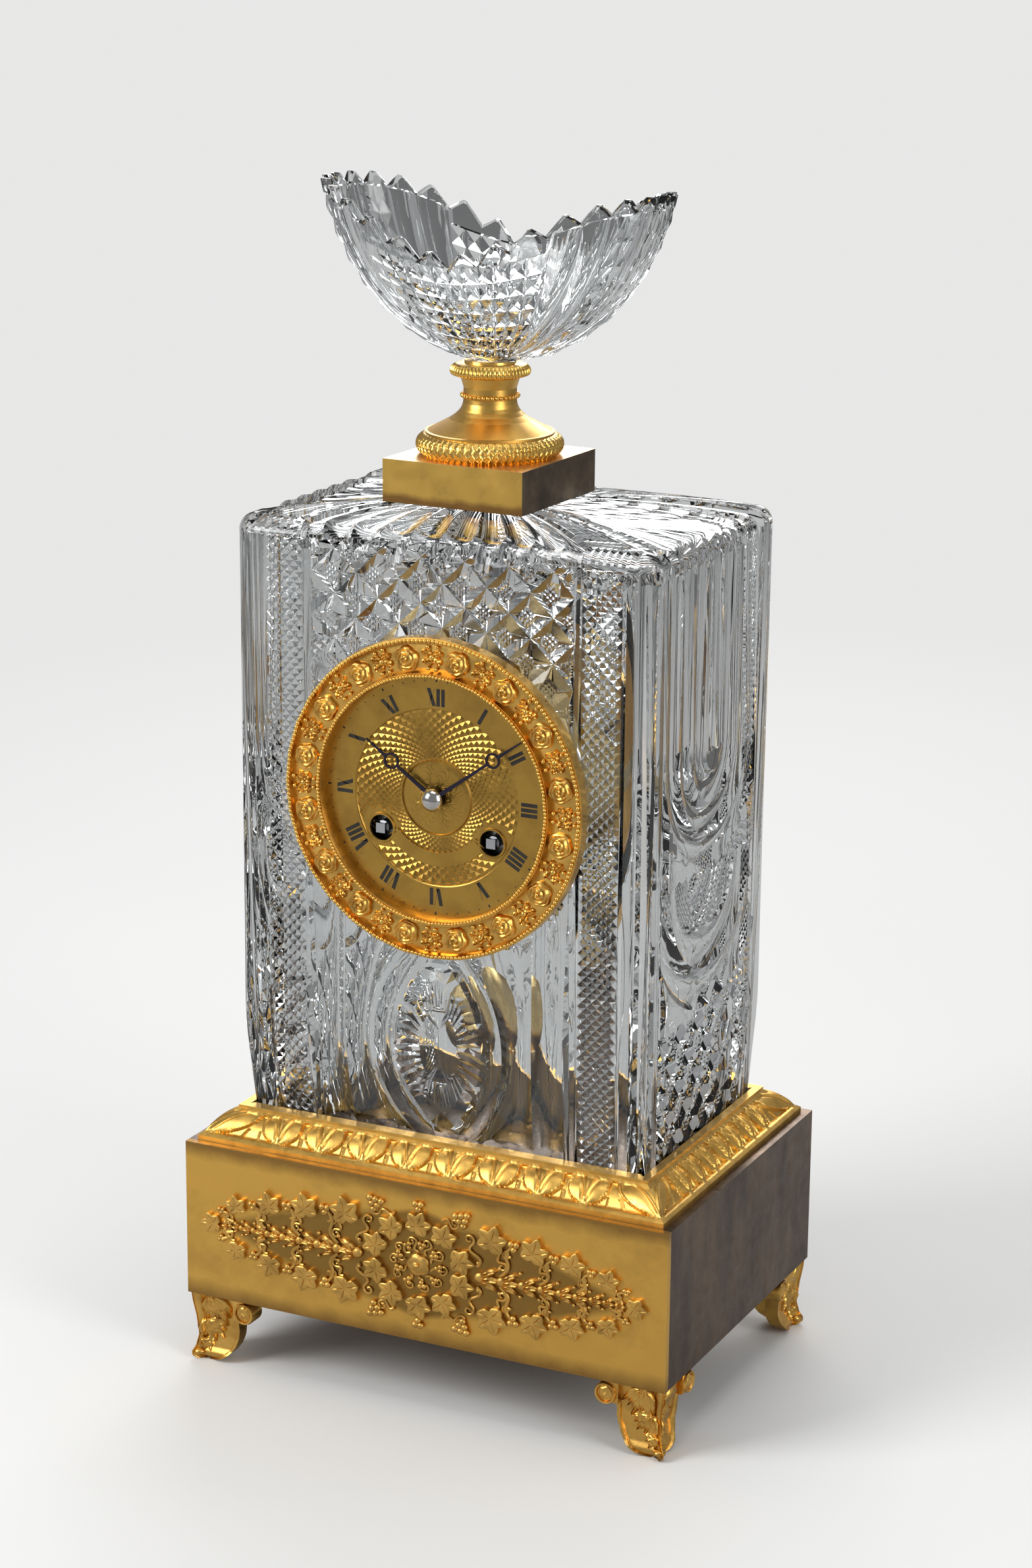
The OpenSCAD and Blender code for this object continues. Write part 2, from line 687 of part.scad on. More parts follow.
module minute_hand() {
  color(steel) clockwork() translate([0, 0, minute_hand_z]) rotate([0, 0, -minute_at])
    ring_hand(minute_len, 32.9, 3.2, 3.6, cannon_r - 0.6);
}

module hand_nut() {
  color("silver") clockwork() translate([0, 0, minute_hand_z + hand_t]) difference() {
    intersection() {
      translate([0, 0, -nut_r * 0.35]) sphere(r = nut_r * 1.08);
      cylinder(r = nut_r, h = nut_r);
    }
    translate([0, 0, -1]) cylinder(r = 1 + run_clear, h = 2.8);
  }
}

module drum() {
  color(brass) clockwork() translate([0, 0, back_z - 1]) difference() {
    cylinder(r = drum_r, h = dial_z - back_z + 1, $fn = 96);
    translate([0, 0, -1]) cylinder(r = drum_r - drum_wall, h = dial_z - back_z + 3, $fn = 96);
  }
}

module pivot_holes(z) {
  for (p = pivots) at(p, z - 1) cylinder(r = arbor_r + run_clear, h = plate_t + 2, $fn = 24);
  at(hammer_at, z - 1) cylinder(r = arbor_r + run_clear, h = plate_t + 2, $fn = 24);
  at(swing_at, z - 1) cylinder(r = arbor_r + run_clear, h = plate_t + 2, $fn = 24);
  for (p = [going_at, strike_at]) at(p, z - 1) cylinder(r = wind_r + run_clear, h = plate_t + 2);
}

// The front plate with its riveted pillars and the stud of the minute wheel
module front_plate() {
  color(brass) clockwork() {
    difference() {
      translate([0, 0, plate_z]) cylinder(r = drum_r - drum_wall - 0.1, h = plate_t, $fn = 96);
      pivot_holes(plate_z);
      translate([0, 0, plate_z - 1]) cylinder(r = 1 + run_clear, h = plate_t + 2);
    }
    for (a = pillar_angles) rotate([0, 0, a]) translate([pillar_ring, 0, back_z + plate_t])
      cylinder(r = 2.2, h = plate_gap);
    at(minute_wheel_at, plate_z + plate_t) cylinder(r = arbor_r, h = 5.2, $fn = 24);
  }
}

module back_plate() {
  color(brass) clockwork() difference() {
    translate([0, 0, back_z]) cylinder(r = plate_r, h = plate_t, $fn = 96);
    pivot_holes(back_z);
    translate([0, 0, back_z - 1]) cylinder(r = 1 + run_clear, h = plate_t + 2);
  }
}

module barrel(p, turn) {
  clockwork() {
    at(p, great_z) wheel(n_great, tooth_m, turn, 1.5, wind_r + 1.4);
    at(p, drum_z) difference() {
      union() {
        cylinder(r = barrel_r, h = great_z - drum_z);
        cylinder(r = wind_r + 1.35, h = great_z - drum_z + 1.5);
      }
      difference() {
        translate([0, 0, 1]) cylinder(r = barrel_r - 1.2, h = great_z - drum_z - 2);
        cylinder(r = wind_r + 1.35, h = great_z - drum_z);
      }
      translate([0, 0, -1]) cylinder(r = wind_r + run_clear, h = great_z - drum_z + 4);
    }
  }
}

module going_barrel() {
  color(brass) barrel(going_at, turn_going);
}

module strike_barrel() {
  color(brass) barrel(strike_at, 0);
}

ratchet_z = plate_z + plate_t + 0.6;
ratchet_r = 6.5;

module winding_arbor(p) {
  clockwork() at(p) {
    arbor(back_z, plate_z + plate_t, wind_r);
    arbor(plate_z + plate_t, dial_z - 0.5, wind_r - 0.4);
    translate([-square_w / 2, -square_w / 2, dial_z - 0.5]) cube([square_w, square_w, hour_hand_z - dial_z]);
    translate([0, 0, ratchet_z]) linear_extrude(1.4) difference() {
      polygon([for (k = [0:n_ratchet - 1]) let (p = 360 / n_ratchet)
        each [polar([ratchet_r - 0.7, k * p]), polar([ratchet_r, (k + 0.85) * p])]]);
      circle(r = (wind_r - 0.4 + run_clear) / cos(15), $fn = 12);
    }
  }
}

module going_arbor() {
  color(steel) winding_arbor(going_at);
}

module strike_arbor() {
  color(steel) winding_arbor(strike_at);
}

// A click lies along its ratchet wheel, with the tip lifted just clear of the teeth
click_dir = -50;
click_len = 7;
click_at = [ratchet_r + 1.9, click_len];
click_t = 1.2;
screw_pivot_r = 1;

module at_click(s) {
  clockwork() mirror([s < 0 ? 1 : 0, 0, 0]) at(going_at, plate_z + plate_t) rotate([0, 0, click_dir])
    translate([click_at[0], click_at[1], 0]) children();
}

module click(s) {
  color(steel) at_click(s) translate([0, 0, 0.7]) linear_extrude(click_t) difference() {
    union() {
      circle(r = 2);
      polygon([[-1.7, -0.8], [1.7, -0.8], [-0.4, -click_len], [-1.5, -click_len - 0.5]]);
    }
    circle(r = screw_pivot_r + run_clear);
  }
}

module going_click() {
  click(1);
}

module strike_click() {
  click(-1);
}

module click_screws() {
  color(steel) for (s = [-1, 1]) at_click(s) {
    cylinder(r = screw_pivot_r, h = click_t + 0.8);
    translate([0, 0, click_t + 0.75]) cylinder(r = 1.8, h = 1);
  }
}

module intermediate_wheel() {
  color(brass) clockwork() at(inter_at) {
    arbor(back_z, plate_z + plate_t);
    translate([0, 0, great_z - 1]) wheel(n_second_pinion, tooth_m, turn_inter, 3.5, arbor_r);
    translate([0, 0, second_z]) wheel(n_intermediate, tooth_m, turn_inter, wheel_t, arbor_r);
  }
}

module centre_wheel() {
  color(brass) clockwork() {
    arbor(back_z, minute_hand_z + hand_t + 1.6, 1);
    translate([0, 0, second_z - 0.6]) wheel(n_centre_pinion, tooth_m, turn_centre, pinion_t, 1);
    translate([0, 0, centre_z]) wheel(n_centre, tooth_m, turn_centre, wheel_t, 1);
  }
}

module third_wheel() {
  color(brass) clockwork() at(third_at) {
    arbor(back_z, plate_z + plate_t);
    translate([0, 0, centre_z - 0.6]) wheel(n_third_pinion, tooth_m, turn_third, pinion_t, arbor_r);
    translate([0, 0, third_z]) linear_extrude(wheel_t) difference() {
      polygon([for (q = tooth_ring(n_third, tooth_m, turn_third)) polar(q)]);
      circle(r = (arbor_r + run_clear) / cos(15), $fn = 12);
      for (a = [0:90:270]) rotate([0, 0, a + 45])
        polygon([[3.2, -1.4], [10.2, -6], [10.8, 0], [10.2, 6], [3.2, 1.4]]);
    }
  }
}

escape_r = 7.5;

module escape_wheel() {
  color(brass) clockwork() at(escape_at) {
    arbor(back_z, plate_z + plate_t);
    translate([0, 0, third_z - 0.6]) wheel(n_escape_pinion, tooth_m, turn_escape, pinion_t, arbor_r);
    translate([0, 0, escape_z]) linear_extrude(0.7) difference() {
      polygon([for (k = [0:n_escape - 1]) let (p = 360 / n_escape)
        each [polar([escape_r - 1.8, k * p]), polar([escape_r - 1.8, (k + 0.62) * p]), polar([escape_r, (k + 0.8) * p]),
              polar([escape_r, (k + 0.9) * p])]]);
      circle(r = (arbor_r + run_clear) / cos(15), $fn = 12);
      for (a = [0:90:270]) rotate([0, 0, a + 45]) polygon([[2.2, -1], [4.6, -2.6], [4.6, 2.6], [2.2, 1]]);
    }
  }
}

crutch_z = back_z - 3;
crutch_len = 26;

// Anchor with its arbor, and the crutch whose fork holds the pendulum rod
module anchor() {
  reach = swing_up - escape_at[1];
  color(steel) clockwork() {
    at(swing_at) arbor(crutch_z, plate_z + plate_t);
    at(swing_at, escape_z - 0.5) linear_extrude(1.6) difference() {
      union() {
        circle(r = 2.2);
        for (s = [-1, 1]) polygon([[0, 1.6], [s * 9.4, -reach + 7.5], [s * 10, -reach + 1.5], [s * 8.6, -reach + 1.5],
          [s * 8.4, -reach + 5.6], [0, -1.2]]);
      }
      circle(r = arbor_r + 0.02);
    }
    at(swing_at, crutch_z) linear_extrude(1.2) difference() {
      union() {
        circle(r = 2.4);
        translate([-1, -crutch_len]) square([2, crutch_len]);
        translate([-2.6, -crutch_len]) square([5.2, 3]);
      }
      circle(r = arbor_r + 0.02);
    }
    for (s = [0, 1]) mirror([s, 0, 0]) translate([rod_r + 0.15, swing_up - crutch_len, rod_z - 1.6])
      cube([1.2, 3, crutch_z - rod_z + 1.6]);
  }
}

module cannon_pinion() {
  color(steel) clockwork() {
    translate([0, 0, motion_z]) wheel(n_cannon, tooth_m, turn_centre, wheel_t + 0.2, cannon_r);
    translate([0, 0, motion_z]) difference() {
      cylinder(r = cannon_r, h = minute_hand_z - motion_z);
      translate([0, 0, -1]) cylinder(r = 1 + 0.02, h = minute_hand_z - motion_z + 2);
    }
  }
}

hour_wheel_z = motion_z + 2.2;

module minute_wheel() {
  color(brass) clockwork() at(minute_wheel_at) {
    translate([0, 0, motion_z]) difference() {
      cylinder(r = arbor_r + 0.8, h = 3.8);
      translate([0, 0, -1]) cylinder(r = arbor_r + run_clear, h = 6, $fn = 24);
    }
    translate([0, 0, motion_z]) wheel(n_minute, tooth_m, turn_minute, wheel_t, arbor_r + 0.8);
    translate([0, 0, hour_wheel_z - 0.4]) wheel(n_minute_pinion, hour_m, turn_minute, 2, arbor_r + 0.8);
  }
}

module hour_wheel() {
  color(brass) clockwork() {
    translate([0, 0, hour_wheel_z]) wheel(n_hour, hour_m, turn_hour, wheel_t, pipe_r + 0.8);
    translate([0, 0, hour_wheel_z - 0.2]) difference() {
      cylinder(r = pipe_r + 0.8, h = hour_hand_z + hand_t - hour_wheel_z + 0.2);
      translate([0, 0, -1]) cylinder(r = pipe_r, h = hour_hand_z - hour_wheel_z + 4);
    }
  }
}

module strike_second_wheel() {
  color(brass) clockwork() at(second_at) {
    arbor(crutch_z, plate_z + plate_t);
    translate([0, 0, great_z - 1]) wheel(n_second_pinion, tooth_m, turn_second, 3.5, arbor_r);
    translate([0, 0, second_z]) wheel(n_strike_second, tooth_m, turn_second, wheel_t, arbor_r);
  }
}

pin_wheel_z = great_z - 4.5;
pin_ring = 6;

module strike_pin_wheel() {
  color(brass) clockwork() at(pin_at) {
    arbor(back_z, plate_z + plate_t);
    translate([0, 0, second_z - 0.6]) wheel(n_pin_pinion, tooth_m, turn_pin, pinion_t, arbor_r);
    translate([0, 0, pin_wheel_z]) wheel(n_pin_wheel, tooth_m, turn_pin, 1, arbor_r);
    for (a = [0:60:300]) rotate([0, 0, a]) translate([pin_ring, 0, pin_wheel_z + 1]) cylinder(r = 0.5, h = 1.8, $fn = 16);
  }
}

module fly() {
  color(brass) clockwork() at(fly_at) {
    arbor(back_z, plate_z + plate_t);
    translate([0, 0, pin_wheel_z - 0.6]) wheel(n_fly_pinion, tooth_m, turn_fly, pinion_t, arbor_r);
    for (s = [0, 1]) rotate([0, 0, 180 * s]) translate([arbor_r, -0.3, drum_z - 6]) cube([4.6, 0.6, 12]);
  }
}

// The count wheel with a notch before each hour
module count_wheel() {
  notches = [for (h = 1, a = 0; h <= 12; a = a + h * 360 / 90, h = h + 1) a];
  color(brass) clockwork() at(second_at, crutch_z) linear_extrude(1) difference() {
    circle(r = 13.4, $fn = 96);
    circle(r = arbor_r + 0.02);
    for (a = notches) rotate([0, 0, a]) translate([12, -0.5]) square([3, 1]);
  }
}

hammer_z = back_z - 11;

module hammer() {
  arm = norm(head_at - hammer_at);
  tail = norm(pin_at - hammer_at) - pin_ring - 1.6;
  color(steel) clockwork() {
    at(hammer_at) arbor(hammer_z, plate_z + plate_t);
    at(hammer_at, pin_wheel_z + 1.5) rotate([0, 0, bearing(hammer_at, pin_at)]) difference() {
      translate([-1.6, -0.7, 0]) cube([tail + 1.6, 1.4, 1]);
      translate([0, 0, -1]) cylinder(r = arbor_r + 0.02, h = 3);
    }
    at(hammer_at, hammer_z - 1.5) rotate([0, 0, bearing(hammer_at, head_at)]) {
      translate([-2, -1, 0]) cube([arm + 2, 2, 1.5]);
      translate([arm, 0, bell_z + 1 - hammer_z + 1.5]) cylinder(r = head_r, h = hammer_z - bell_z - 1);
    }
  }
}

module bell() {
  color("silver") clockwork() at(bell_at, bell_z - bell_h) rotate_extrude($fn = 72) {
    w = 1.6;
    polygon(concat(
      [for (k = [0:8]) let (a = 90 * k / 8) [bell_r * sin(a) + (k == 0 ? 2.1 : 0), bell_h * (1 - cos(a))]],
      [[bell_r, bell_h + 3], [bell_r - w, bell_h + 3]],
      [for (k = [8:-1:0]) let (a = 90 * k / 8)
        [(bell_r - w) * sin(a) + (k == 0 ? 2.1 : 0), w + (bell_h - w) * (1 - cos(a))]]));
  }
}

module bell_stand() {
  color(steel) clockwork() at(bell_at) {
    translate([0, 0, back_z - 2]) cylinder(r = 4, h = 2);
    translate([0, 0, bell_z - bell_h + 1.85]) cylinder(r = 3.2, h = 3);
    translate([0, 0, bell_z - bell_h - 4]) cylinder(r = 2, h = back_z - bell_z + bell_h + 3);
    translate([0, 0, bell_z - bell_h - 3]) cylinder(r = 3.6, h = 2.9);
  }
}

// Cock on the back plate that carries the silk
module suspension_cock() {
  cock_top = swing_up + 8;
  color(brass) clockwork() {
    for (s = [0, 1]) mirror([s, 0, 0]) translate([8, swing_up - 8, back_z - 11]) cube([3, 16, 9.5]);
    for (s = [0, 1]) mirror([s, 0, 0]) translate([8, swing_up - 8, back_z - 2]) cube([3, 9, 2]);
    translate([-8.5, cock_top - 3.5, back_z - 11]) cube([17, 3.5, 9.5]);
  }
}

module silk_suspension() {
  drop = 4.5;
  color("beige") clockwork() at(swing_at) {
    translate([0, 0, rod_z - 1.8]) cylinder(r = 0.35, h = 3.6, $fn = 16);
    for (z = [-1.4, 1.4]) translate([0, 0, rod_z + z]) rotate([-90, 0, 0]) cylinder(r = 0.35, h = drop, $fn = 16);
  }
}

module pendulum_rod() {
  color(brass) clockwork() {
    at(swing_at, rod_z - 0.6) difference() {
      cylinder(r = 2, h = 1.2);
      translate([0, 0, -1]) cylinder(r = 1.3, h = 4);
    }
    at(swing_at, rod_z) rotate([90, 0, 0]) translate([0, 0, 1.7]) cylinder(r = rod_r, h = bob_down + bob_r + 8);
  }
}

module pendulum_bob() {
  dome = (bob_r ^ 2 + (bob_t / 2) ^ 2) / bob_t;
  color(brass) clockwork() at([0, swing_up - bob_down], rod_z) difference() {
    intersection() {
      translate([0, 0, dome - bob_t / 2]) sphere(r = dome, $fn = 96);
      translate([0, 0, bob_t / 2 - dome]) sphere(r = dome, $fn = 96);
      translate([0, 0, -bob_t]) cylinder(r = bob_r - 0.6, h = 2 * bob_t);
    }
    rotate([90, 0, 0]) translate([0, 0, -bob_r - 2]) cylinder(r = rod_r + run_clear, h = 2 * bob_r + 4);
  }
}

module rating_nut() {
  color(brass) clockwork() at([0, swing_up - bob_down - bob_r], rod_z) rotate([90, 0, 0]) difference() {
    translate([0, 0, -0.4]) cylinder(r = 4, h = 3.4);
    translate([0, 0, -2]) cylinder(r = rod_r + run_clear, h = 8);
  }
}

// The back of the glass: a bezel, and a door on an upright hinge
rear_face = -top_hd;
door_r = sight_r + 1;
hinge_x = -(door_r + 4.5);
hinge_z = rear_face - 7;
knuckle_r = 2.1;
pin_r = 1.1;

module rear_bezel() {
  color(gilt) clockwork() {
    rotate_extrude($fn = 96) polygon([[door_r + 0.4, rear_face - 4.4], [rear_r - 3, rear_face - 4.4],
      [rear_r - 1, rear_face - 3], [rear_r, rear_face - 1.5], [rear_r, rear_face], [spigot_r, rear_face],
      [spigot_r, rear_face + 6], [drum_r + 0.2, rear_face + 6], [drum_r + 0.2, rear_face - 1], [door_r + 0.4, rear_face - 1]]);
    for (s = [-1, 1]) translate([0, s * 9, 0]) difference() {
      union() {
        translate([hinge_x - 2, -2.6, hinge_z]) cube([4, 5.2, rear_face - 4.4 - hinge_z + 0.4]);
        translate([hinge_x, 2.6, hinge_z]) rotate([90, 0, 0]) cylinder(r = knuckle_r, h = 5.2);
      }
      translate([hinge_x, 6, hinge_z]) rotate([90, 0, 0]) cylinder(r = pin_r + 0.02, h = 12);
    }
    for (s = [0, 1]) mirror([s, 0, 0])
      translate([drum_r - drum_wall - 0.4, -5, rear_face + 1]) cube([2, 10, 4]);
  }
}

module back_door() {
  color(gilt) clockwork() {
    difference() {
      union() {
        translate([0, 0, rear_face - 5]) cylinder(r = door_r, h = 3, $fn = 96);
        translate([hinge_x, -6, rear_face - 6.2]) cube([12, 12, 1.4]);
        translate([hinge_x, 6, hinge_z]) rotate([90, 0, 0]) cylinder(r = knuckle_r, h = 12);
      }
      translate([hinge_x, 8, hinge_z]) rotate([90, 0, 0]) cylinder(r = pin_r + run_clear, h = 16);
    }
    translate([door_r - 6, 0, rear_face - 9]) cylinder(r = 2.5, h = 4.2);
  }
}

module hinge_pin() {
  color(steel) clockwork() translate([hinge_x, 12.2, hinge_z]) rotate([90, 0, 0]) cylinder(r = pin_r, h = 24.4);
}

module movement_straps() {
  strap_x = drum_r - drum_wall - 1.4;
  color(brass) clockwork() for (s = [0, 1]) mirror([s, 0, 0])
    translate([strap_x, -5, rear_face + 1]) cube([1, 10, plate_z - rear_face - 1]);
}

module on_stand() {
  placed() translate([stand_x, stand_y, 0]) rotate([0, 0, block_turn]) children();
}

module pedestal_block() {
  color(gilt) on_stand() difference() {
    translate([-block_w / 2, -block_w / 2, z_block]) cube([block_w, block_w, block_h]);
    translate([0, 0, z_block - 1]) cylinder(r = bolt_r + 0.2, h = block_h + 2);
  }
}

module laurel_ring() {
  hub = laurel_r - 8;
  color(gilt) on_stand() translate([0, 0, z_stand]) rotate_extrude($fn = 96) polygon(concat(
    [[hub, 0], [laurel_r - 2.4, 0]],
    [for (a = [-70:20:70]) [laurel_r - 4 + 4 * cos(a), laurel_h / 2 + (laurel_h / 2 - 0.2) * sin(a)]],
    [[laurel_r - 3.6, laurel_h], [hub, laurel_h]]));
}

// Turned foot: a flared skirt, a waist with a row of beads, and the seat of the collar
module stand_foot() {
  disc = laurel_r - 3.8;
  color(gilt) on_stand() {
    difference() {
      rotate_extrude($fn = 72) polygon(concat(
        [[0, z_stand], [laurel_r - 8.2, z_stand], [laurel_r - 8.2, z_foot_top], [disc, z_foot_top], [disc, z_foot_top + 0.9]],
        [for (k = [0:8]) let (s = k / 8)
          [waist_r + (disc - 1 - waist_r) * pow(1 - s, 3.2), z_foot_top + 1 + (stand_h * 0.66 - 1) * pow(s, 0.8)]],
        [[waist_r, z_foot_top + stand_h * 0.8], [waist_r + 1.4, z_collar], [0, z_collar]]));
      translate([0, 0, z_stand - 1]) cylinder(r = bolt_r + 0.2, h = laurel_h + stand_h * 0.7);
    }
    for (k = [0:bead_count - 1]) rotate([0, 0, k * 360 / bead_count])
      translate([waist_r + 0.5, 0, z_foot_top + stand_h * 0.66]) sphere(r = 0.9, $fn = 16);
  }
}

module fluted_collar() {
  color(gilt) on_stand() difference() {
    rotate_extrude($fn = 72) polygon(concat(
      [[0, z_collar], [collar_r - 1.6, z_collar]],
      [for (k = [0:6]) let (a = -25 + 115 * k / 6)
        [collar_r - 5.2 + 5.2 * cos(a), z_collar + 2.1 + (collar_h - 3.1) * sin(a)]],
      [[collar_r - 5.4, z_bowl], [0, z_bowl]]));
    translate([0, 0, z_bowl - 3]) cylinder(r = 9.2, h = 4);
  }
}

// Points of the bowl: angle round it, share of the way from the bottom to the rim, and skin
bowl_rings = 9;
z_bowl_foot = z_bowl - 0.6;
function rise_share(e) = e * e * (3 - 2 * e);
function rim_at(t, tip) = let (c = abs(cos(t)))
  rim_low + (rim_high - rim_low) * rise_share(c) - (tip ? 0 : tooth_depth * (1 - 0.2 * c));
function bowl_point(t, h, w) =
  let (c = bowl_c, a = bowl_a - w, b = bowl_b - w, d = c - w, s = sqrt(max(0, 1 - pow((c - h) / d, 2))))
    [a * s * cos(t), b * s * sin(t), z_bowl_foot + h];
function skin_ring(k, w, low) = [
  for (j = [0:2 * tooth_count - 1])
    let (t = j * 180 / tooth_count, top = rim_at(t, j % 2 == 0), h = low + (top - low) * pow(k / bowl_rings, 1.6))
      bowl_point(t, h, w)];

module bowl_shell() {
  n = 2 * tooth_count;
  low_out = 0.7;
  low_in = bowl_wall + 2;
  pts = concat(
    [for (k = [0:bowl_rings]) each skin_ring(k, 0, low_out)],
    [for (k = [bowl_rings:-1:0]) each skin_ring(k, bowl_wall, low_in)],
    [[0, 0, z_bowl_foot + low_out], [0, 0, z_bowl_foot + low_in]]);
  rows = 2 * bowl_rings + 1;
  sides = [for (r = [0:rows - 1]) for (j = [0:n - 1]) let (i = (j + 1) % n)
    each [[r * n + j, (r + 1) * n + i, r * n + i], [r * n + j, (r + 1) * n + j, (r + 1) * n + i]]];
  bottom = [for (j = [0:n - 1]) [(rows + 1) * n, j, (j + 1) % n]];
  floor_in = [for (j = [0:n - 1]) [(rows + 1) * n + 1, rows * n + (j + 1) % n, rows * n + j]];
  polyhedron(points = pts, faces = concat(sides, bottom, floor_in));
}

module crystal_bowl() {
  color(glass) on_stand() union() {
    translate([bowl_x, bowl_y, 0]) rotate([0, 0, bowl_turn]) bowl_shell();
    translate([0, 0, z_bowl - 2.8]) cylinder(r = 9, h = 4.5);
  }
}

module central_bolt() {
  color(steel) on_stand() {
    translate([0, 0, hollow_top - 7]) cylinder(r = bolt_r, h = z_foot_top + stand_h * 0.5 - hollow_top + 7);
    difference() {
      translate([0, 0, hollow_top - 1.62]) cylinder(r = 13, h = 1.6);
      translate([0, 0, hollow_top - 3]) cylinder(r = bolt_r + seat_clear, h = 4);
    }
    difference() {
      translate([0, 0, hollow_top - 6]) cylinder(r = 6, h = 4.3, $fn = 6);
      translate([0, 0, hollow_top - 8]) cylinder(r = bolt_r + seat_clear, h = 8);
    }
  }
}

plinth_front();
plinth_back();
plinth_left();
plinth_right();
plinth_top();
bottom_board();
moulding_frame();
vine_mount();
foot_front_left();
foot_front_right();
foot_back_left();
foot_back_right();
foot_screws();
crystal_case();
front_bezel();
dial_plate();
hour_hand();
minute_hand();
hand_nut();
drum();
front_plate();
back_plate();
going_barrel();
strike_barrel();
going_arbor();
strike_arbor();
going_click();
strike_click();
click_screws();
intermediate_wheel();
centre_wheel();
third_wheel();
escape_wheel();
anchor();
cannon_pinion();
minute_wheel();
hour_wheel();
strike_second_wheel();
strike_pin_wheel();
fly();
count_wheel();
hammer();
bell();
bell_stand();
suspension_cock();
silk_suspension();
pendulum_rod();
pendulum_bob();
rating_nut();
rear_bezel();
back_door();
hinge_pin();
movement_straps();
pedestal_block();
stand_foot();
laurel_ring();
fluted_collar();
crystal_bowl();
central_bolt();
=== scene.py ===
"""Mantel clock: cut glass case, gilt mounts, engraved dial and a boat shaped glass bowl."""

import json
import math
import random

import bmesh
import bpy
import numpy as np
from mathutils import Matrix, Vector
from mathutils.geometry import delaunay_2d_cdt


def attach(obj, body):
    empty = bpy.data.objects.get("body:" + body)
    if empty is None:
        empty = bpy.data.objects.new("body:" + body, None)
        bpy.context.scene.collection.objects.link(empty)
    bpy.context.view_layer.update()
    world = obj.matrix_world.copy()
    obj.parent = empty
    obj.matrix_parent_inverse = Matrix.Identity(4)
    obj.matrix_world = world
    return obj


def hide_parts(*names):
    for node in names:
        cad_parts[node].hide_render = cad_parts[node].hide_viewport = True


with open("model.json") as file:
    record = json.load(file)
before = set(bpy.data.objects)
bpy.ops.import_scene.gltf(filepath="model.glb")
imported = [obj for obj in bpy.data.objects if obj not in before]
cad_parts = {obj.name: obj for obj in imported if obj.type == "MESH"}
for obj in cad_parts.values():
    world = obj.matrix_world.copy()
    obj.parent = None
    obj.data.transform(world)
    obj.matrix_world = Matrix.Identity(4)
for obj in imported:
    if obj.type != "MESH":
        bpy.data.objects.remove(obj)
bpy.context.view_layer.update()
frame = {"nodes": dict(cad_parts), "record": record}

# Places in the shared frame, in millimetres: half sizes of the plinth, its height over the floor,
# and how far the glass stands back
PLINTH_X, PLINTH_Y = 110.0, 77.0
FOOT_HIGH = 31.0
CASE_Y = 1.75
# Heights of the glass's underside, the dial's middle and the top edge, and the rise of the dome
SEAT = 99.0
DIAL = 258.6
EDGE = 364.4
CROWN = 5.0
# Over the seat: height of the moulding, and where the sides of the glass become upright
MOULD = 13.6
CURVE = 62.0
# Half sizes of the glass above, how much less they are at its foot, and the radius of its corners
TOP_HW, TOP_HD = 92.4, 61.5
FLARE_X, FLARE_Y = 2.7, 6.5
CORNER = 7.0
# Axis and turn of the stand under the bowl
STAND = (-6.5, -4.0 + CASE_Y)
STAND_TURN = math.radians(-2.0)
TAU = 2 * math.pi


def on_dial(p):
    """From the dial's frame (x right, y up, z to the viewer) to the shared frame."""
    p = np.asarray(p, float)
    return np.stack([p[..., 0], CASE_Y - p[..., 2], DIAL + p[..., 1]], -1)


def on_stand(p):
    """From the stand's own axis to the shared frame."""
    p = np.asarray(p, float)
    c, s = math.cos(STAND_TURN), math.sin(STAND_TURN)
    x, y = p[..., 0], p[..., 1]
    return np.stack([STAND[0] + c * x - s * y, STAND[1] + s * x + c * y, p[..., 2]], -1)


def on_case(p):
    """From the middle of the glass case to the shared frame."""
    return np.asarray(p, float) + np.array([0.0, CASE_Y, 0.0])


# Materials


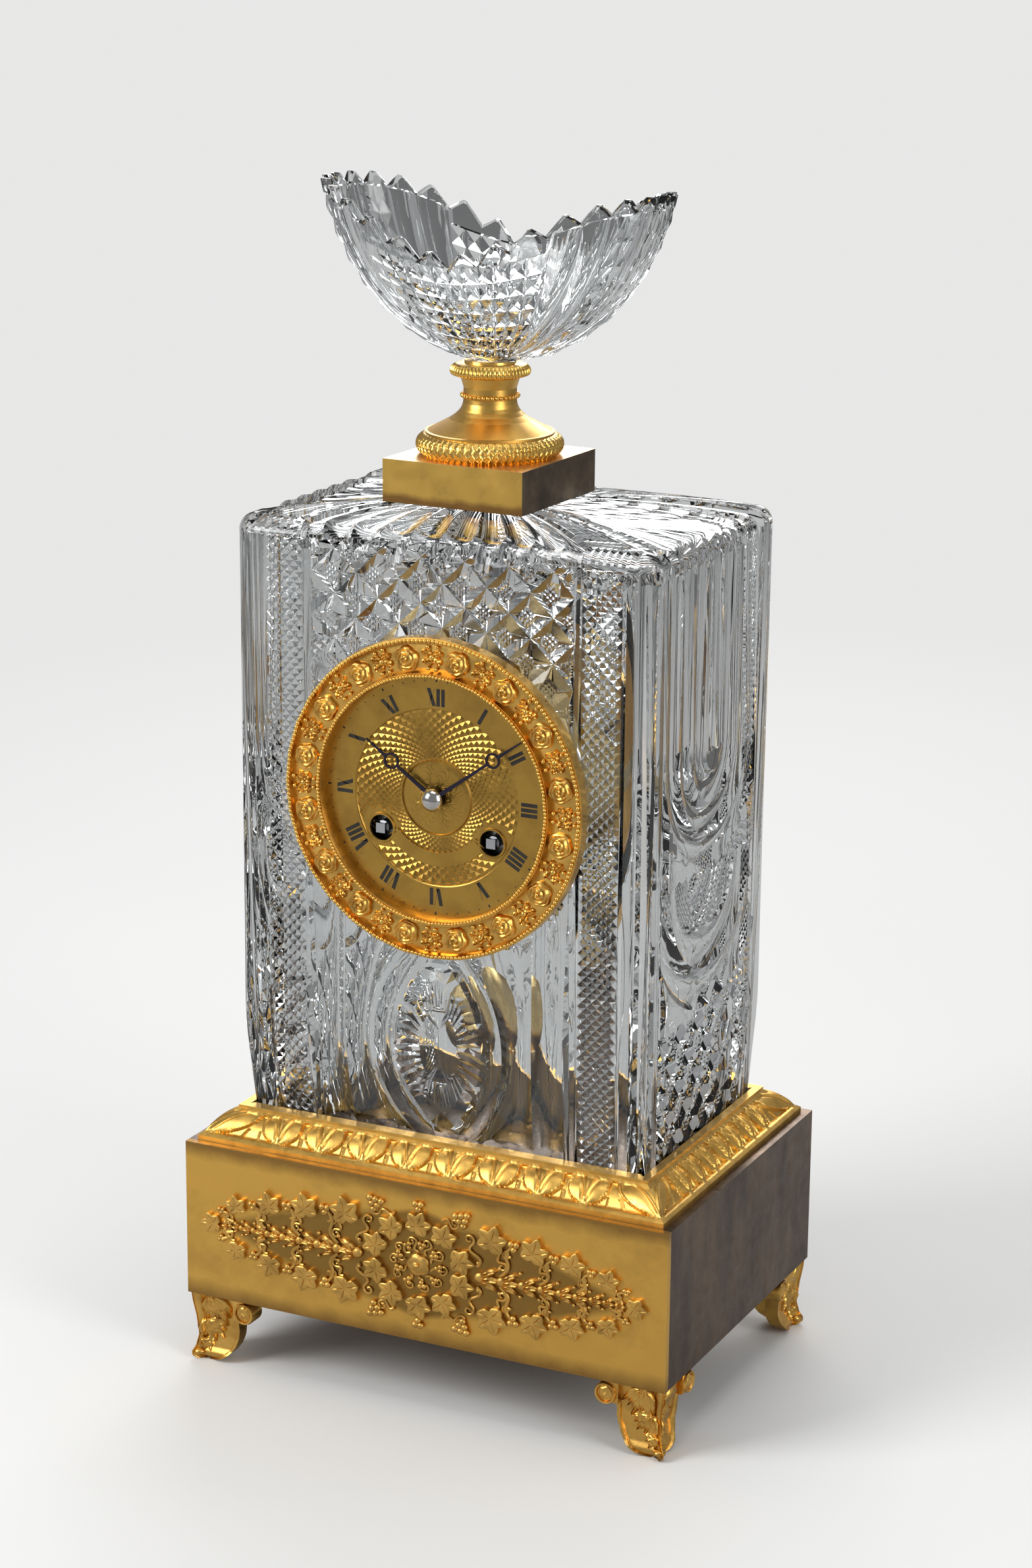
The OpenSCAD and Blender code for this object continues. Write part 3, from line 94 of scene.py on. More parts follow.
class Shader:
    """A node material built in steps."""

    def __init__(self, name):
        self.material = bpy.data.materials.new(name)
        self.material.use_nodes = True
        self.tree = self.material.node_tree
        self.tree.nodes.clear()
        self.out = self.node("ShaderNodeOutputMaterial")
        self.bsdf = self.node("ShaderNodeBsdfPrincipled")
        self.join(self.bsdf.outputs[0], self.out.inputs[0])
        self.place = self.node("ShaderNodeTexCoord").outputs["Object"]

    def node(self, kind, **values):
        made = self.tree.nodes.new(kind)
        for key, value in values.items():
            setattr(made, key, value)
        return made

    def join(self, a, b):
        self.tree.links.new(a, b)

    def noise(self, scale, detail=4.0, rough=0.55, stretch=(1, 1, 1)):
        shift = self.node("ShaderNodeMapping")
        shift.inputs["Scale"].default_value = stretch
        self.join(self.place, shift.inputs[0])
        made = self.node("ShaderNodeTexNoise")
        made.inputs["Scale"].default_value = scale
        made.inputs["Detail"].default_value = detail
        made.inputs["Roughness"].default_value = rough
        self.join(shift.outputs[0], made.inputs["Vector"])
        return made.outputs["Fac"]

    def remap(self, value, a, b, c=0.0, d=1.0):
        made = self.node("ShaderNodeMapRange")
        for k, v in zip(("From Min", "From Max", "To Min", "To Max"), (a, b, c, d)):
            made.inputs[k].default_value = v
        self.join(value, made.inputs["Value"])
        return made.outputs[0]

    def parts(self):
        """x, y and z of the place."""
        made = self.node("ShaderNodeSeparateXYZ")
        self.join(self.place, made.inputs[0])
        return tuple(made.outputs)

    def mix(self, factor, a, b):
        made = self.node("ShaderNodeMix", data_type="RGBA")
        self.join(factor, made.inputs[0])
        for socket, value in ((made.inputs[6], a), (made.inputs[7], b)):
            if isinstance(value, tuple):
                socket.default_value = (*value, 1.0)
            else:
                self.join(value, socket)
        return made.outputs[2]

    def math(self, operation, a, b=None):
        made = self.node("ShaderNodeMath", operation=operation)
        for socket, value in zip(made.inputs, (a, b)):
            if value is None:
                continue
            if isinstance(value, (int, float)):
                socket.default_value = value
            else:
                self.join(value, socket)
        return made.outputs[0]

    def bump(self, value, strength, distance):
        made = self.node("ShaderNodeBump")
        made.inputs["Strength"].default_value = strength
        made.inputs["Distance"].default_value = distance
        self.join(value, made.inputs["Height"])
        self.join(made.outputs[0], self.bsdf.inputs["Normal"])

    def set(self, **values):
        for key, value in values.items():
            socket = self.bsdf.inputs[key.replace("_", " ")]
            if isinstance(value, (int, float, tuple)):
                socket.default_value = value
            else:
                self.join(value, socket)
        return self.material


def metal(name, base, stain, rough=(0.28, 0.42), scale=45.0, amount=0.5, grain=0.25, stretch=(1, 1, 1)):
    """Metal with wide stains of a second colour, uneven gloss and a fine grain."""
    s = Shader(name)
    wide = s.remap(s.noise(scale, 5.0, 0.55, stretch), 0.4, 0.72, 0.0, amount)
    s.set(Base_Color=s.mix(wide, base, stain), Metallic=1.0,
          Roughness=s.remap(s.noise(scale * 3, 3.0), 0.3, 0.7, *rough))
    s.bump(s.noise(1400.0, 3.0, 0.5, stretch), grain, 0.00008)
    return s.material


# The vine mount on the front plate, in metres: its height, half sizes of its arms and of its ring, which also
# outline the painted shadow on the plate
MOUNT_Z = 0.065
MOUNT_ARM = (0.099, 0.0225)
MOUNT_RING = (0.0275, 0.0245)


def panel_metal(name, base, stain, painted_shadow, low, high):
    """Satin gilding that darkens towards the upper and lower edge of a plate, with a painted shadow on it
    behind the vine mount.
    """
    s = Shader(name)
    x, _, z = s.parts()
    blotch = s.noise(30.0, 6.0, 0.6)
    ragged = s.math("MULTIPLY", s.noise(90.0, 4.0), 0.006)
    top = s.remap(s.math("ADD", z, ragged), high - 0.004, high + 0.002)
    bottom = s.remap(s.math("SUBTRACT", z, ragged), low + 0.004, low - 0.003)
    edge = s.math("MAXIMUM", top, bottom)
    amount = s.math("MAXIMUM", s.remap(blotch, 0.52, 0.78, 0.0, 0.55), edge)
    # Painted shadow: inside the outline of the vine mount's ring and arms the plate is darkened, as if shaded
    # by the openwork mount
    across = s.math("ABSOLUTE", x)
    away = s.math("ABSOLUTE", s.math("SUBTRACT", z, MOUNT_Z))
    square = lambda value, size: s.math("POWER", s.math("DIVIDE", value, size), 2.0)
    arm = s.math("ADD", s.math("DIVIDE", away, MOUNT_ARM[1]), square(across, MOUNT_ARM[0]))
    ring = s.math("ADD", square(away, MOUNT_RING[1]), square(across, MOUNT_RING[0]))
    near = s.math("ADD", s.math("MINIMUM", arm, ring), s.math("MULTIPLY", ragged, 14.0))
    behind = s.remap(near, 1.02, 0.84, 0.0, 0.72)
    s.set(Base_Color=s.mix(behind, s.mix(amount, base, stain), painted_shadow), Metallic=1.0,
          Roughness=s.remap(s.noise(130.0, 3.0), 0.3, 0.7, 0.34, 0.48))
    s.bump(s.noise(1500.0, 3.0, 0.5, (1, 1, 0.15)), 0.2, 0.00006)
    return s.material


def glass_material(name, tint):
    """Clear glass with a few faintly dull places."""
    s = Shader(name)
    rough = s.remap(s.noise(220.0, 3.0), 0.55, 0.8, 0.0, 0.03)
    return s.set(Base_Color=(*tint, 1.0), Roughness=rough, Transmission_Weight=1.0, IOR=1.53, Metallic=0.0)


def plain(name, base, second, rough=0.5, metallic=0.0):
    """An even finish that wavers between two near colours."""
    s = Shader(name)
    colour = s.mix(s.remap(s.noise(300.0), 0.35, 0.7), base, second)
    return s.set(Base_Color=colour, Roughness=rough, Metallic=metallic)


GILT = metal("satin_gilt", (0.84, 0.50, 0.115), (0.46, 0.25, 0.06))
BRIGHT = metal("burnished_gilt", (0.90, 0.56, 0.14), (0.50, 0.28, 0.06), rough=(0.2, 0.32),
               amount=0.35, grain=0.1)
CAST = metal("chased_gilt", (0.84, 0.50, 0.12), (0.36, 0.19, 0.05), rough=(0.24, 0.38),
             scale=110.0, amount=0.6, grain=0.2)
MATTE = metal("matte_gilt", (0.76, 0.46, 0.12), (0.30, 0.165, 0.045), rough=(0.36, 0.5),
              scale=160.0, amount=0.6, grain=0.35)
# Its third colour is the painted shadow behind the vine mount
FRONT = panel_metal("gilt_front_plate_painted_shadow", (0.80, 0.47, 0.105), (0.36, 0.20, 0.055), (0.17, 0.095, 0.03),
                    0.0315, 0.0985)
DARK = metal("dark_patina", (0.085, 0.058, 0.042), (0.24, 0.155, 0.095), rough=(0.24, 0.4),
             scale=60.0, amount=0.7, grain=0.4, stretch=(1, 1, 0.3))
BRASS = metal("movement_brass", (0.72, 0.53, 0.24), (0.52, 0.36, 0.14), rough=(0.2, 0.32))
STEEL = metal("polished_steel", (0.50, 0.51, 0.53), (0.30, 0.30, 0.31), rough=(0.2, 0.35), amount=0.4)
BLUED = metal("blued_steel", (0.035, 0.035, 0.06), (0.08, 0.05, 0.05), rough=(0.25, 0.35), amount=0.4)
NICKEL = metal("bright_nut", (0.58, 0.57, 0.55), (0.30, 0.29, 0.28), rough=(0.12, 0.22), amount=0.4)
BELL = metal("bell_metal", (0.74, 0.67, 0.50), (0.55, 0.47, 0.32), rough=(0.15, 0.25))
OAK = plain("oak_board", (0.23, 0.13, 0.065), (0.14, 0.08, 0.04), 0.6)
SILK = plain("silk_thread", (0.75, 0.70, 0.58), (0.6, 0.54, 0.42), 0.8)
WAX = plain("black_wax", (0.012, 0.010, 0.008), (0.03, 0.024, 0.016), 0.35)
GLASS = glass_material("cut_glass", (0.89, 0.905, 0.91))
WORN = plain("worn_wax", (0.16, 0.10, 0.035), (0.34, 0.22, 0.08), 0.4, 0.5)
FACEPLATE = metal("dial_gilding", (0.48, 0.285, 0.062), (0.27, 0.15, 0.035), rough=(0.24, 0.38),
                  scale=90.0, amount=0.5, grain=0.15)


def upright_metal(name, base, side, top, edge, ceiling):
    """Gilding in front, a dark right side beyond an x and a pale top above a z."""
    s = Shader(name)
    turn = s.node("ShaderNodeMapping")
    turn.inputs["Location"].default_value = (-STAND[0] * 0.001, -STAND[1] * 0.001, 0.0)
    s.join(s.place, turn.inputs[0])
    spin = s.node("ShaderNodeMapping")
    spin.inputs["Rotation"].default_value = (0, 0, -STAND_TURN)
    s.join(turn.outputs[0], spin.inputs[0])
    parts = s.node("ShaderNodeSeparateXYZ")
    s.join(spin.outputs[0], parts.inputs[0])
    ragged = s.math("MULTIPLY", s.noise(120.0, 5.0), 0.004)
    low = s.remap(s.math("SUBTRACT", parts.outputs[2], ragged), ceiling - 0.0150, ceiling - 0.0175)
    body = s.mix(low, base, (0.36, 0.19, 0.06))
    patch = s.mix(s.remap(s.noise(70.0, 5.0), 0.35, 0.7), side, tuple(min(1.0, c * 2.6) for c in side))
    body = s.mix(s.remap(parts.outputs[0], edge - 0.0002, edge), body, patch)
    body = s.mix(s.remap(parts.outputs[2], ceiling - 0.0002, ceiling), body, top)
    s.set(Base_Color=body, Metallic=1.0, Roughness=s.remap(s.noise(130.0, 3.0), 0.3, 0.7, 0.26, 0.4))
    s.bump(s.noise(1500.0, 3.0, 0.5, (0.12, 0.12, 1)), 0.2, 0.00005)
    return s.material


BLOCK = upright_metal("gilt_block", (0.76, 0.47, 0.11), (0.10, 0.07, 0.045), (0.80, 0.54, 0.27), 0.0315, 0.3868)
LEDGE = metal("gilt_moulding", (0.84, 0.51, 0.12), (0.38, 0.21, 0.055), rough=(0.3, 0.44),
              scale=150.0, amount=0.55, grain=0.3)

SLOTS = {"gilt_bronze": GILT, "dark_bronze": DARK, "oak": OAK, "cut_glass": GLASS, "steel": STEEL,
         "blued_steel": BLUED, "bright_nut": NICKEL, "bell_metal": BELL, "silk": SILK, "movement_brass": BRASS}


# Mesh helpers


def piece(name, parts, body="case", nodes=(), angle=30.0, weld=0.0):
    """One object from parts (vertices in mm, faces, material); edges sharper than the angle stay crisp."""
    verts, faces, which, mats = [], [], [], []
    for v, f, m in parts:
        base = len(verts)
        verts.extend(np.asarray(v, float) * 0.001)
        if m not in mats:
            mats.append(m)
        faces.extend([tuple(base + i for i in q) for q in f])
        which.extend([mats.index(m)] * len(f))
    mesh = bpy.data.meshes.new(name)
    mesh.from_pydata([tuple(v) for v in verts], [], faces)
    for m in mats:
        mesh.materials.append(m)
    mesh.polygons.foreach_set("material_index", which)
    bm = bmesh.new()
    bm.from_mesh(mesh)
    if weld:
        bmesh.ops.remove_doubles(bm, verts=bm.verts, dist=weld * 0.001)
    bmesh.ops.recalc_face_normals(bm, faces=bm.faces)
    limit = math.radians(angle)
    for f in bm.faces:
        f.smooth = True
    for e in bm.edges:
        e.smooth = len(e.link_faces) == 2 and e.calc_face_angle(0.0) < limit
    bm.to_mesh(mesh)
    bm.free()
    made = bpy.data.objects.new(name, mesh)
    bpy.context.scene.collection.objects.link(made)
    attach(made, body)
    if nodes:
        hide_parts(*nodes)
    return made


def strip(rows, columns, closed=False):
    """Quads of a grid of rows by columns of points."""
    last = columns if closed else columns - 1
    return [(r * columns + c, r * columns + (c + 1) % columns,
             (r + 1) * columns + (c + 1) % columns, (r + 1) * columns + c)
            for r in range(rows - 1) for c in range(last)]


def polar(r, a):
    """x and y from a radius and an angle."""
    return r * math.cos(a), r * math.sin(a)


def circle(r, count, x=0.0, y=0.0):
    """Points of a circle in the plane."""
    return [(x + r * math.cos(TAU * i / count), y + r * math.sin(TAU * i / count)) for i in range(count)]


def triangles(points, edges, keep, near=1e-4):
    """Points and triangles of a plane drawing, along its edges, where the middle of a triangle is kept."""
    out = delaunay_2d_cdt([Vector(q) for q in points], edges, [], 0, near)
    pts = np.array([tuple(q) for q in out[0]])
    return pts, [tuple(t) for t in out[2] if keep(*pts[list(t)].mean(0))]


def ring_lathe(profile, count):
    """Turns a closed section, which gives a ring."""
    a = np.arange(count) * TAU / count
    rows = np.array([[(*polar(r, t), z) for t in a] for r, z in profile + profile[:1]])
    n = len(profile)
    faces = [tuple(i % (n * count) for i in q) for q in strip(n + 1, count, True)]
    return rows[:n].reshape(-1, 3), faces


def ball_ring(name, radius, count, bead, height):
    """A ring of beads made with geometry nodes."""
    tree = bpy.data.node_groups.new(name, "GeometryNodeTree")
    tree.interface.new_socket("Geometry", in_out="INPUT", socket_type="NodeSocketGeometry")
    wanted = (("Ring radius", radius * 0.001), ("Bead radius", bead * 0.001))
    for label, value in wanted:
        tree.interface.new_socket(label, in_out="INPUT", socket_type="NodeSocketFloat").default_value = value
    tree.interface.new_socket("Count", in_out="INPUT", socket_type="NodeSocketInt").default_value = count
    tree.interface.new_socket("Geometry", in_out="OUTPUT", socket_type="NodeSocketGeometry")
    add, link = tree.nodes.new, tree.links.new
    source, sink = add("NodeGroupInput"), add("NodeGroupOutput")
    hoop = add("GeometryNodeCurvePrimitiveCircle")
    points = add("GeometryNodeCurveToPoints")
    ball = add("GeometryNodeMeshIcoSphere")
    ball.inputs["Subdivisions"].default_value = 2
    instance, real = add("GeometryNodeInstanceOnPoints"), add("GeometryNodeRealizeInstances")
    paint = add("GeometryNodeSetMaterial")
    paint.inputs["Material"].default_value = BRIGHT
    link(source.outputs["Ring radius"], hoop.inputs["Radius"])
    link(hoop.outputs[0], points.inputs[0])
    link(source.outputs["Count"], points.inputs["Count"])
    link(source.outputs["Bead radius"], ball.inputs["Radius"])
    link(points.outputs[0], instance.inputs["Points"])
    link(ball.outputs[0], instance.inputs["Instance"])
    link(instance.outputs[0], real.inputs[0])
    link(real.outputs[0], paint.inputs[0])
    link(paint.outputs[0], sink.inputs[0])
    holder = bpy.data.objects.new(name, bpy.data.meshes.new(name))
    bpy.context.scene.collection.objects.link(holder)
    modifier = holder.modifiers.new("beads", "NODES")
    modifier.node_group = tree
    for item in tree.interface.items_tree:
        if item.in_out == "INPUT" and item.name == "Count":
            modifier[item.identifier] = count
    graph = bpy.context.evaluated_depsgraph_get()
    made = holder.evaluated_get(graph)
    done = bpy.data.meshes.new_from_object(made, preserve_all_data_layers=False, depsgraph=graph)
    verts = np.array([tuple(v.co) for v in done.vertices]) * 1000.0
    faces = [tuple(p.vertices) for p in done.polygons]
    bpy.data.objects.remove(holder)
    bpy.data.meshes.remove(done)
    verts[:, 2] += height
    return verts, faces


# The cut glass case

# Half widths on the front: the band of fine diamonds, and the field inside it
BAND_IN, BAND_OUT, CENTRE = 61.2, 78.2, 57.7
SHOULDER = EDGE - CORNER
ARC = CORNER * math.pi / 4
FLAT_X, FLAT_Y = TOP_HW - CORNER, TOP_HD - CORNER
FRONT_END, SIDE_END = FLAT_X + ARC, FLAT_Y + ARC
# Columns round the glass, and the pitch of the flutes of the top edge
FRONT_STEPS, SIDE_STEPS = 112, 74
FLUTE = 8 * 2 * FRONT_END / FRONT_STEPS
# The hollow, the hole at the dial, the room kept at the rims, and the hole for the central bolt
INNER_X, INNER_Y, CEILING = 80.2, 46.0, 350.4
HOLE, HOLE_STEPS = 53.0, 96
RIM_CLEAR = 0.3
BORE = 4.2


def wave(x):
    """A concave flute: 0 on the ridges at whole numbers and 1 half way between."""
    f = x - math.floor(x)
    return 1.0 - (2.0 * f - 1.0) ** 2


def tent(x):
    """1 on whole numbers and 0 half way between."""
    f = x - math.floor(x)
    return abs(2.0 * f - 1.0)


def edge_flute(u, reach):
    """Depth of the flutes that run over the top edge."""
    return 2.4 * wave(u / FLUTE) if abs(u) < reach else 0.0


class Sheet:
    """Points and creases in the plane of one unrolled side of the glass."""

    def __init__(self):
        self.points, self.edges = [], []

    def loop(self, pts):
        """A closed row of creases."""
        base = len(self.points)
        self.points += pts
        self.edges += [(base + i, base + (i + 1) % len(pts)) for i in range(len(pts))]

    def line(self, a, b, box, clear=None):
        """A straight crease, cut to the box, kept off the rims and out of the circle at the dial."""
        box = (box[0], max(box[1], SEAT + RIM_CLEAR), box[2], min(box[3], SHOULDER - RIM_CLEAR))
        t0, t1 = 0.0, 1.0
        d = (b[0] - a[0], b[1] - a[1])
        for k in (0, 1):
            if abs(d[k]) < 1e-9:
                if not box[k] <= a[k] <= box[k + 2]:
                    return
                continue
            s, e = sorted(((box[k] - a[k]) / d[k], (box[k + 2] - a[k]) / d[k]))
            t0, t1 = max(t0, s), min(t1, e)
        if t1 - t0 < 1e-6:
            return
        spans = [(t0, t1)]
        if clear:
            fx, fy = a[0], a[1] - DIAL
            qa, qb, qc = d[0] ** 2 + d[1] ** 2, 2 * (fx * d[0] + fy * d[1]), fx * fx + fy * fy - clear * clear
            disc = qb * qb - 4 * qa * qc
            if disc > 0:
                r0, r1 = (-qb - math.sqrt(disc)) / (2 * qa), (-qb + math.sqrt(disc)) / (2 * qa)
                spans = [(t0, min(t1, r0)), (max(t0, r1), t1)]
        for s, e in spans:
            if e - s > 1e-5:
                base = len(self.points)
                self.points += [(a[0] + d[0] * s, a[1] + d[1] * s), (a[0] + d[0] * e, a[1] + d[1] * e)]
                self.edges.append((base, base + 1))

    def curve(self, pts, box, clear=None):
        """An open row of creases."""
        for a, b in zip(pts, pts[1:]):
            self.line(a, b, box, clear)

    def fill(self, box, step, keep=lambda u, v: True):
        """Loose points in staggered columns."""
        nu, nv = max(2, round((box[2] - box[0]) / step)), max(2, round((box[3] - box[1]) / step))
        for i in range(1, nu):
            for j in range(1, nv):
                u = box[0] + (box[2] - box[0]) * i / nu
                v = box[1] + (box[3] - box[1]) * (j + (0.5 if i % 2 else 0.0)) / nv
                if v < box[3] and keep(u, v):
                    self.points.append((u, v))

    def lattice(self, box, pu, pv, top, clear=None, cuts=0):
        """Crossed diagonal grooves; top is the share of a diamond that stays flat, with its own fine hatch."""
        i0, i1 = math.floor(box[0] / pu) - 1, math.ceil(box[2] / pu) + 1
        j0, j1 = math.floor((box[1] - SEAT) / pv) - 1, math.ceil((box[3] - SEAT) / pv) + 1
        for i in range(2 * i0, 2 * i1 + 1):
            for j in range(2 * j0, 2 * j1 + 1):
                if (i + j) % 2:
                    continue
                x, y = i * pu / 2, SEAT + j * pv / 2
                at = lambda p, q: (x + (p + q) * pu / 4, y + (p - q) * pv / 4)
                self.line(at(-1, 1), at(1, 1), box, clear)
                self.line(at(1, -1), at(1, 1), box, clear)
                if not top:
                    for p, q in ((1, 1), (1, -1), (-1, 1), (-1, -1)):
                        self.line(at(0, 0), at(p, q), box, clear)
                    continue
                for p, q in ((1, 1), (1, -1), (-1, 1), (-1, -1)):
                    self.line(at(top * p, top * q), at(p, q), box, clear)
                for k in range(2 * cuts + 1):
                    w = -top + top * k / cuts
                    self.line(at(w, -top), at(w, top), box, clear)
                    self.line(at(-top, w), at(top, w), box, clear)


class Panel(Sheet):
    """A whole side of the glass, from corner to corner."""

    def __init__(self, half, steps):
        super().__init__()
        self.half = half
        columns = [-half + 2 * half * i / steps for i in range(steps + 1)]
        rows = [SEAT + (SHOULDER - SEAT) * i / 64 for i in range(65)]
        border = [(u, SEAT) for u in columns] + [(half, v) for v in rows[1:]]
        border += [(u, SHOULDER) for u in reversed(columns[:-1])] + [(-half, v) for v in reversed(rows[1:-1])]
        self.loop(border)


def diamond(u, v, pu, pv, top, deep, cuts=0):
    """Depth inside a lattice of diamonds."""
    a, b = 2 * u / pu, 2 * (v - SEAT) / pv
    p, q = (a + b) / 2, (a - b) / 2
    p, q = 2 * (p - math.floor(p + 0.5)), 2 * (q - math.floor(q + 0.5))
    m = max(abs(p), abs(q))
    if not top:
        return deep * m
    if m > top + 1e-6:
        return deep * (m - top) / (1 - top)
    n, f = (p + top) / (2 * top) * cuts, (q + top) / (2 * top) * cuts
    return 0.45 * max(tent(n), tent(f)) - (0.0 if m < top - 1e-6 else 0.45)


# Front: pitch of the large and of the fine diamonds, and half width, half height and middle of the lens
BIG_U, BIG_V = 2 * CENTRE / 6, 18.2
FINE_U, FINE_V = (BAND_OUT - BAND_IN) / 4, 4.4
LENS = (19.0, 39.0, 153.0)
# Shares of the lens that its border and its clear core reach, and the number of cuts between
BORDER, CORE, SPOKES = 0.75, 0.46, 96
# Where the upright flutes begin, where the flute round the lens ends, and the hollow beside the corner
FLUTE_IN, RING_OUT = 42.0, 29.0
EDGE_BAND = 8.0
# Radii at the bezel inside which the glass stays plain
BEZEL_CLEAR, CREASE_CLEAR = 64.0, 63.0


def lens_half(v, size=LENS, grow=0.0):
    """Half width at a height of the lens, whose sides are arcs, or of an arc outside it."""
    bend = (size[1] ** 2 + size[0] ** 2) / (2 * size[0])
    t = (bend + grow) ** 2 - (v - size[2]) ** 2
    return max(0.0, size[0] - bend + math.sqrt(t)) if t > 0 else 0.0


def outer_arc(v):
    """Where the flute round the lens ends."""
    return lens_half(v, grow=RING_OUT - LENS[0])


def border_flute(t):
    """Depth of the hollow beside the corner, at a share of the way across it."""
    return 1.5 if t < 1e-4 else 1.1 * wave(min(t, 0.9999)) if t < 1 else 0.0


def crest(u, v, reach):
    """Depth of the top edge's flutes where they run out down a side."""
    return max(0.0, edge_flute(u, reach) - 0.32 * (SHOULDER - v))


def front_depth(u, v):
    """Depth of the cuts of the front and the back."""
    au = abs(u)
    if math.hypot(u, v - DIAL) < BEZEL_CLEAR + 0.6:
        return 0.0
    top = crest(u, v, BAND_IN)
    if au > BAND_OUT - 1e-4:
        return max(top, border_flute((au - BAND_OUT) / EDGE_BAND))
    if au > BAND_IN + 1e-4:
        return max(top, diamond(au - BAND_IN, v, FINE_U, FINE_V, 0, 1.5))
    if au > CENTRE - 1e-4:
        t = (au - CENTRE) / (BAND_IN - CENTRE)
        return max(top, 1.7 if t < 1e-3 or t > 0.999 else 0.3)
    if v >= DIAL:
        return max(top, diamond(u, v, BIG_U, BIG_V, 0.5, 3.4, 4))
    w, ring = lens_half(v), outer_arc(v)
    if au <= w + 1e-6:
        # Share of the way out from the middle: clear core, radially cut border, plain rim
        e = math.sqrt((u / LENS[0]) ** 2 + ((v - LENS[2]) / LENS[1]) ** 2 * (1 + 0.35 * (1 - au / LENS[0])))
        e = max(au / max(w, 1e-6), abs(v - LENS[2]) / LENS[1]) if e > 1 else e
        if e < CORE - 1e-3:
            return 0.5 + 1.2 * (1 - (e / CORE) ** 2)
        if e < BORDER - 1e-3:
            return 1.0 + 0.35 * (1 if round(spoke(u, v)) % 2 else -1)
        return 0.5 if e < 0.97 else 1.2
    if au < ring:
        return 2.2 * wave((au - w) / max(ring - w, 1e-3) * 0.9999)
    if au < FLUTE_IN:
        return 2.4 * wave((au - ring) / (FLUTE_IN - ring) * 0.9999)
    return 2.4 * wave((au - FLUTE_IN) / (CENTRE - FLUTE_IN) * 0.9999)


def spoke(u, v):
    """Number of the radial cut of the lens's border that a point lies on."""
    return (math.atan2(u / LENS[0], (v - LENS[2]) / LENS[1]) / TAU * SPOKES) % SPOKES


def oval(share, count):
    """An oval inside the lens, at a share of the way out."""
    pts = []
    for i in range(count):
        y, x = polar(1.0, TAU * i / count)
        x *= 1 - 0.3 * share * abs(y) ** 1.5
        pts.append((LENS[0] * share * x, LENS[2] + LENS[1] * share * y))
    return pts


def front_panel():
    """Points and creases of the front, with the hole for the bezel."""
    p = Panel(FRONT_END, FRONT_STEPS)
    ring = circle(HOLE, HOLE_STEPS, 0.0, DIAL)
    p.loop(ring)
    low, high = SEAT, SHOULDER
    middle = (CENTRE + BAND_IN) / 2
    border = [BAND_OUT + EDGE_BAND * k / 4 for k in range(5)]
    uprights = [CENTRE, middle - 0.9, middle + 0.9, BAND_IN, *border, FLAT_X, FLAT_X + ARC / 2]
    for s in (-1, 1):
        for x in uprights:
            p.line((s * x, low), (s * x, high), (-FRONT_END, low, FRONT_END, high), BEZEL_CLEAR)
        start = len(p.points)
        q = Sheet()
        q.lattice((0, low, BAND_OUT - BAND_IN, high), FINE_U, FINE_V, 0)
        p.points += [(s * (BAND_IN + a), b) for a, b in q.points]
        p.edges += [(start + a, start + b) for a, b in q.edges]
    p.lattice((-CENTRE, DIAL, CENTRE, high), BIG_U, BIG_V, 0.5, CREASE_CLEAR, 4)
    p.fill((-CENTRE, high - 9, CENTRE, high), 1.62)
    box = (-CENTRE, low, CENTRE, DIAL)
    vs = [low + (DIAL - low) * i / 64 for i in range(65)]
    for s in (-1, 1):
        tracks = [lambda v, k=k: FLUTE_IN + (CENTRE - FLUTE_IN) * k / 6 for k in range(6)]
        tracks += [lambda v, k=k: outer_arc(v) + (FLUTE_IN - outer_arc(v)) * k / 6 for k in range(6)]
        tracks += [lambda v, k=k: lens_half(v) + (outer_arc(v) - lens_half(v)) * k / 5 for k in range(5)]
        for track in tracks:
            p.curve([(s * track(v), v) for v in vs], box, CREASE_CLEAR)
    for share in (0.2, CORE - 0.02, CORE, BORDER - 0.02, BORDER):
        pts = oval(share, SPOKES)
        p.curve(pts + pts[:1], box, CREASE_CLEAR)
    inner, outer = oval(CORE, SPOKES), oval(BORDER - 0.02, SPOKES)
    for a, b in zip(inner, outer):
        p.line(a, b, box, CREASE_CLEAR)
    p.fill(box, 4.0, lambda u, v: math.hypot(u, v - DIAL) > BEZEL_CLEAR and abs(u) > lens_half(v) + 1)
    return p, ring, front_depth


# Sides: edge of the field and its border, the diamonds below, the fan, and the swag and folds round it
SIDE_IN, SIDE_BAND = 47.0, 6.5
SWAG_LOW, FAN, SWAG, SWAG_WIDE, FOLD, FOLD_WIDE = 168.0, 226.0, 32.5, 17.0, 275.0, 13.0
SIDE_U, SIDE_V = 2 * SIDE_IN / 5, 22.0
FAN_U, FAN_V = 3.4, 3.8


def side_depth(u, v):
    """Depth of the cuts of the two sides."""
    au = abs(u)
    top = crest(u, v, SIDE_IN)
    if au > SIDE_IN - 1e-4:
        return max(top, border_flute((au - SIDE_IN) / SIDE_BAND))
    if v < SWAG_LOW:
        return max(top, diamond(u, v, SIDE_U, SIDE_V, 0.5, 3.0, 3)) * min(1.0, (SWAG_LOW - v) / 2.0)
    fan = math.hypot(u, v - FAN)
    inner = SWAG - SWAG_WIDE / 2
    deep = 0.0
    if v <= FAN and fan < inner - 1.0:
        return 0.4 + diamond(u, v, FAN_U, FAN_V, 0, 0.9)
    if v <= FAN and inner < fan < inner + 2 * SWAG_WIDE:
        deep = 2.4 * wave((fan - inner) / SWAG_WIDE)
    r = math.hypot(u, v - FOLD) if v < FOLD else au
    k = (SIDE_IN - r) / FOLD_WIDE
    if 0 < k < 3:
        deep = max(deep, 2.4 * wave(k))
    elif k >= 3 and v > FOLD:
        deep = max(deep, 2.0 * (1 - (au / 8.0) ** 2))
    return max(top, deep)


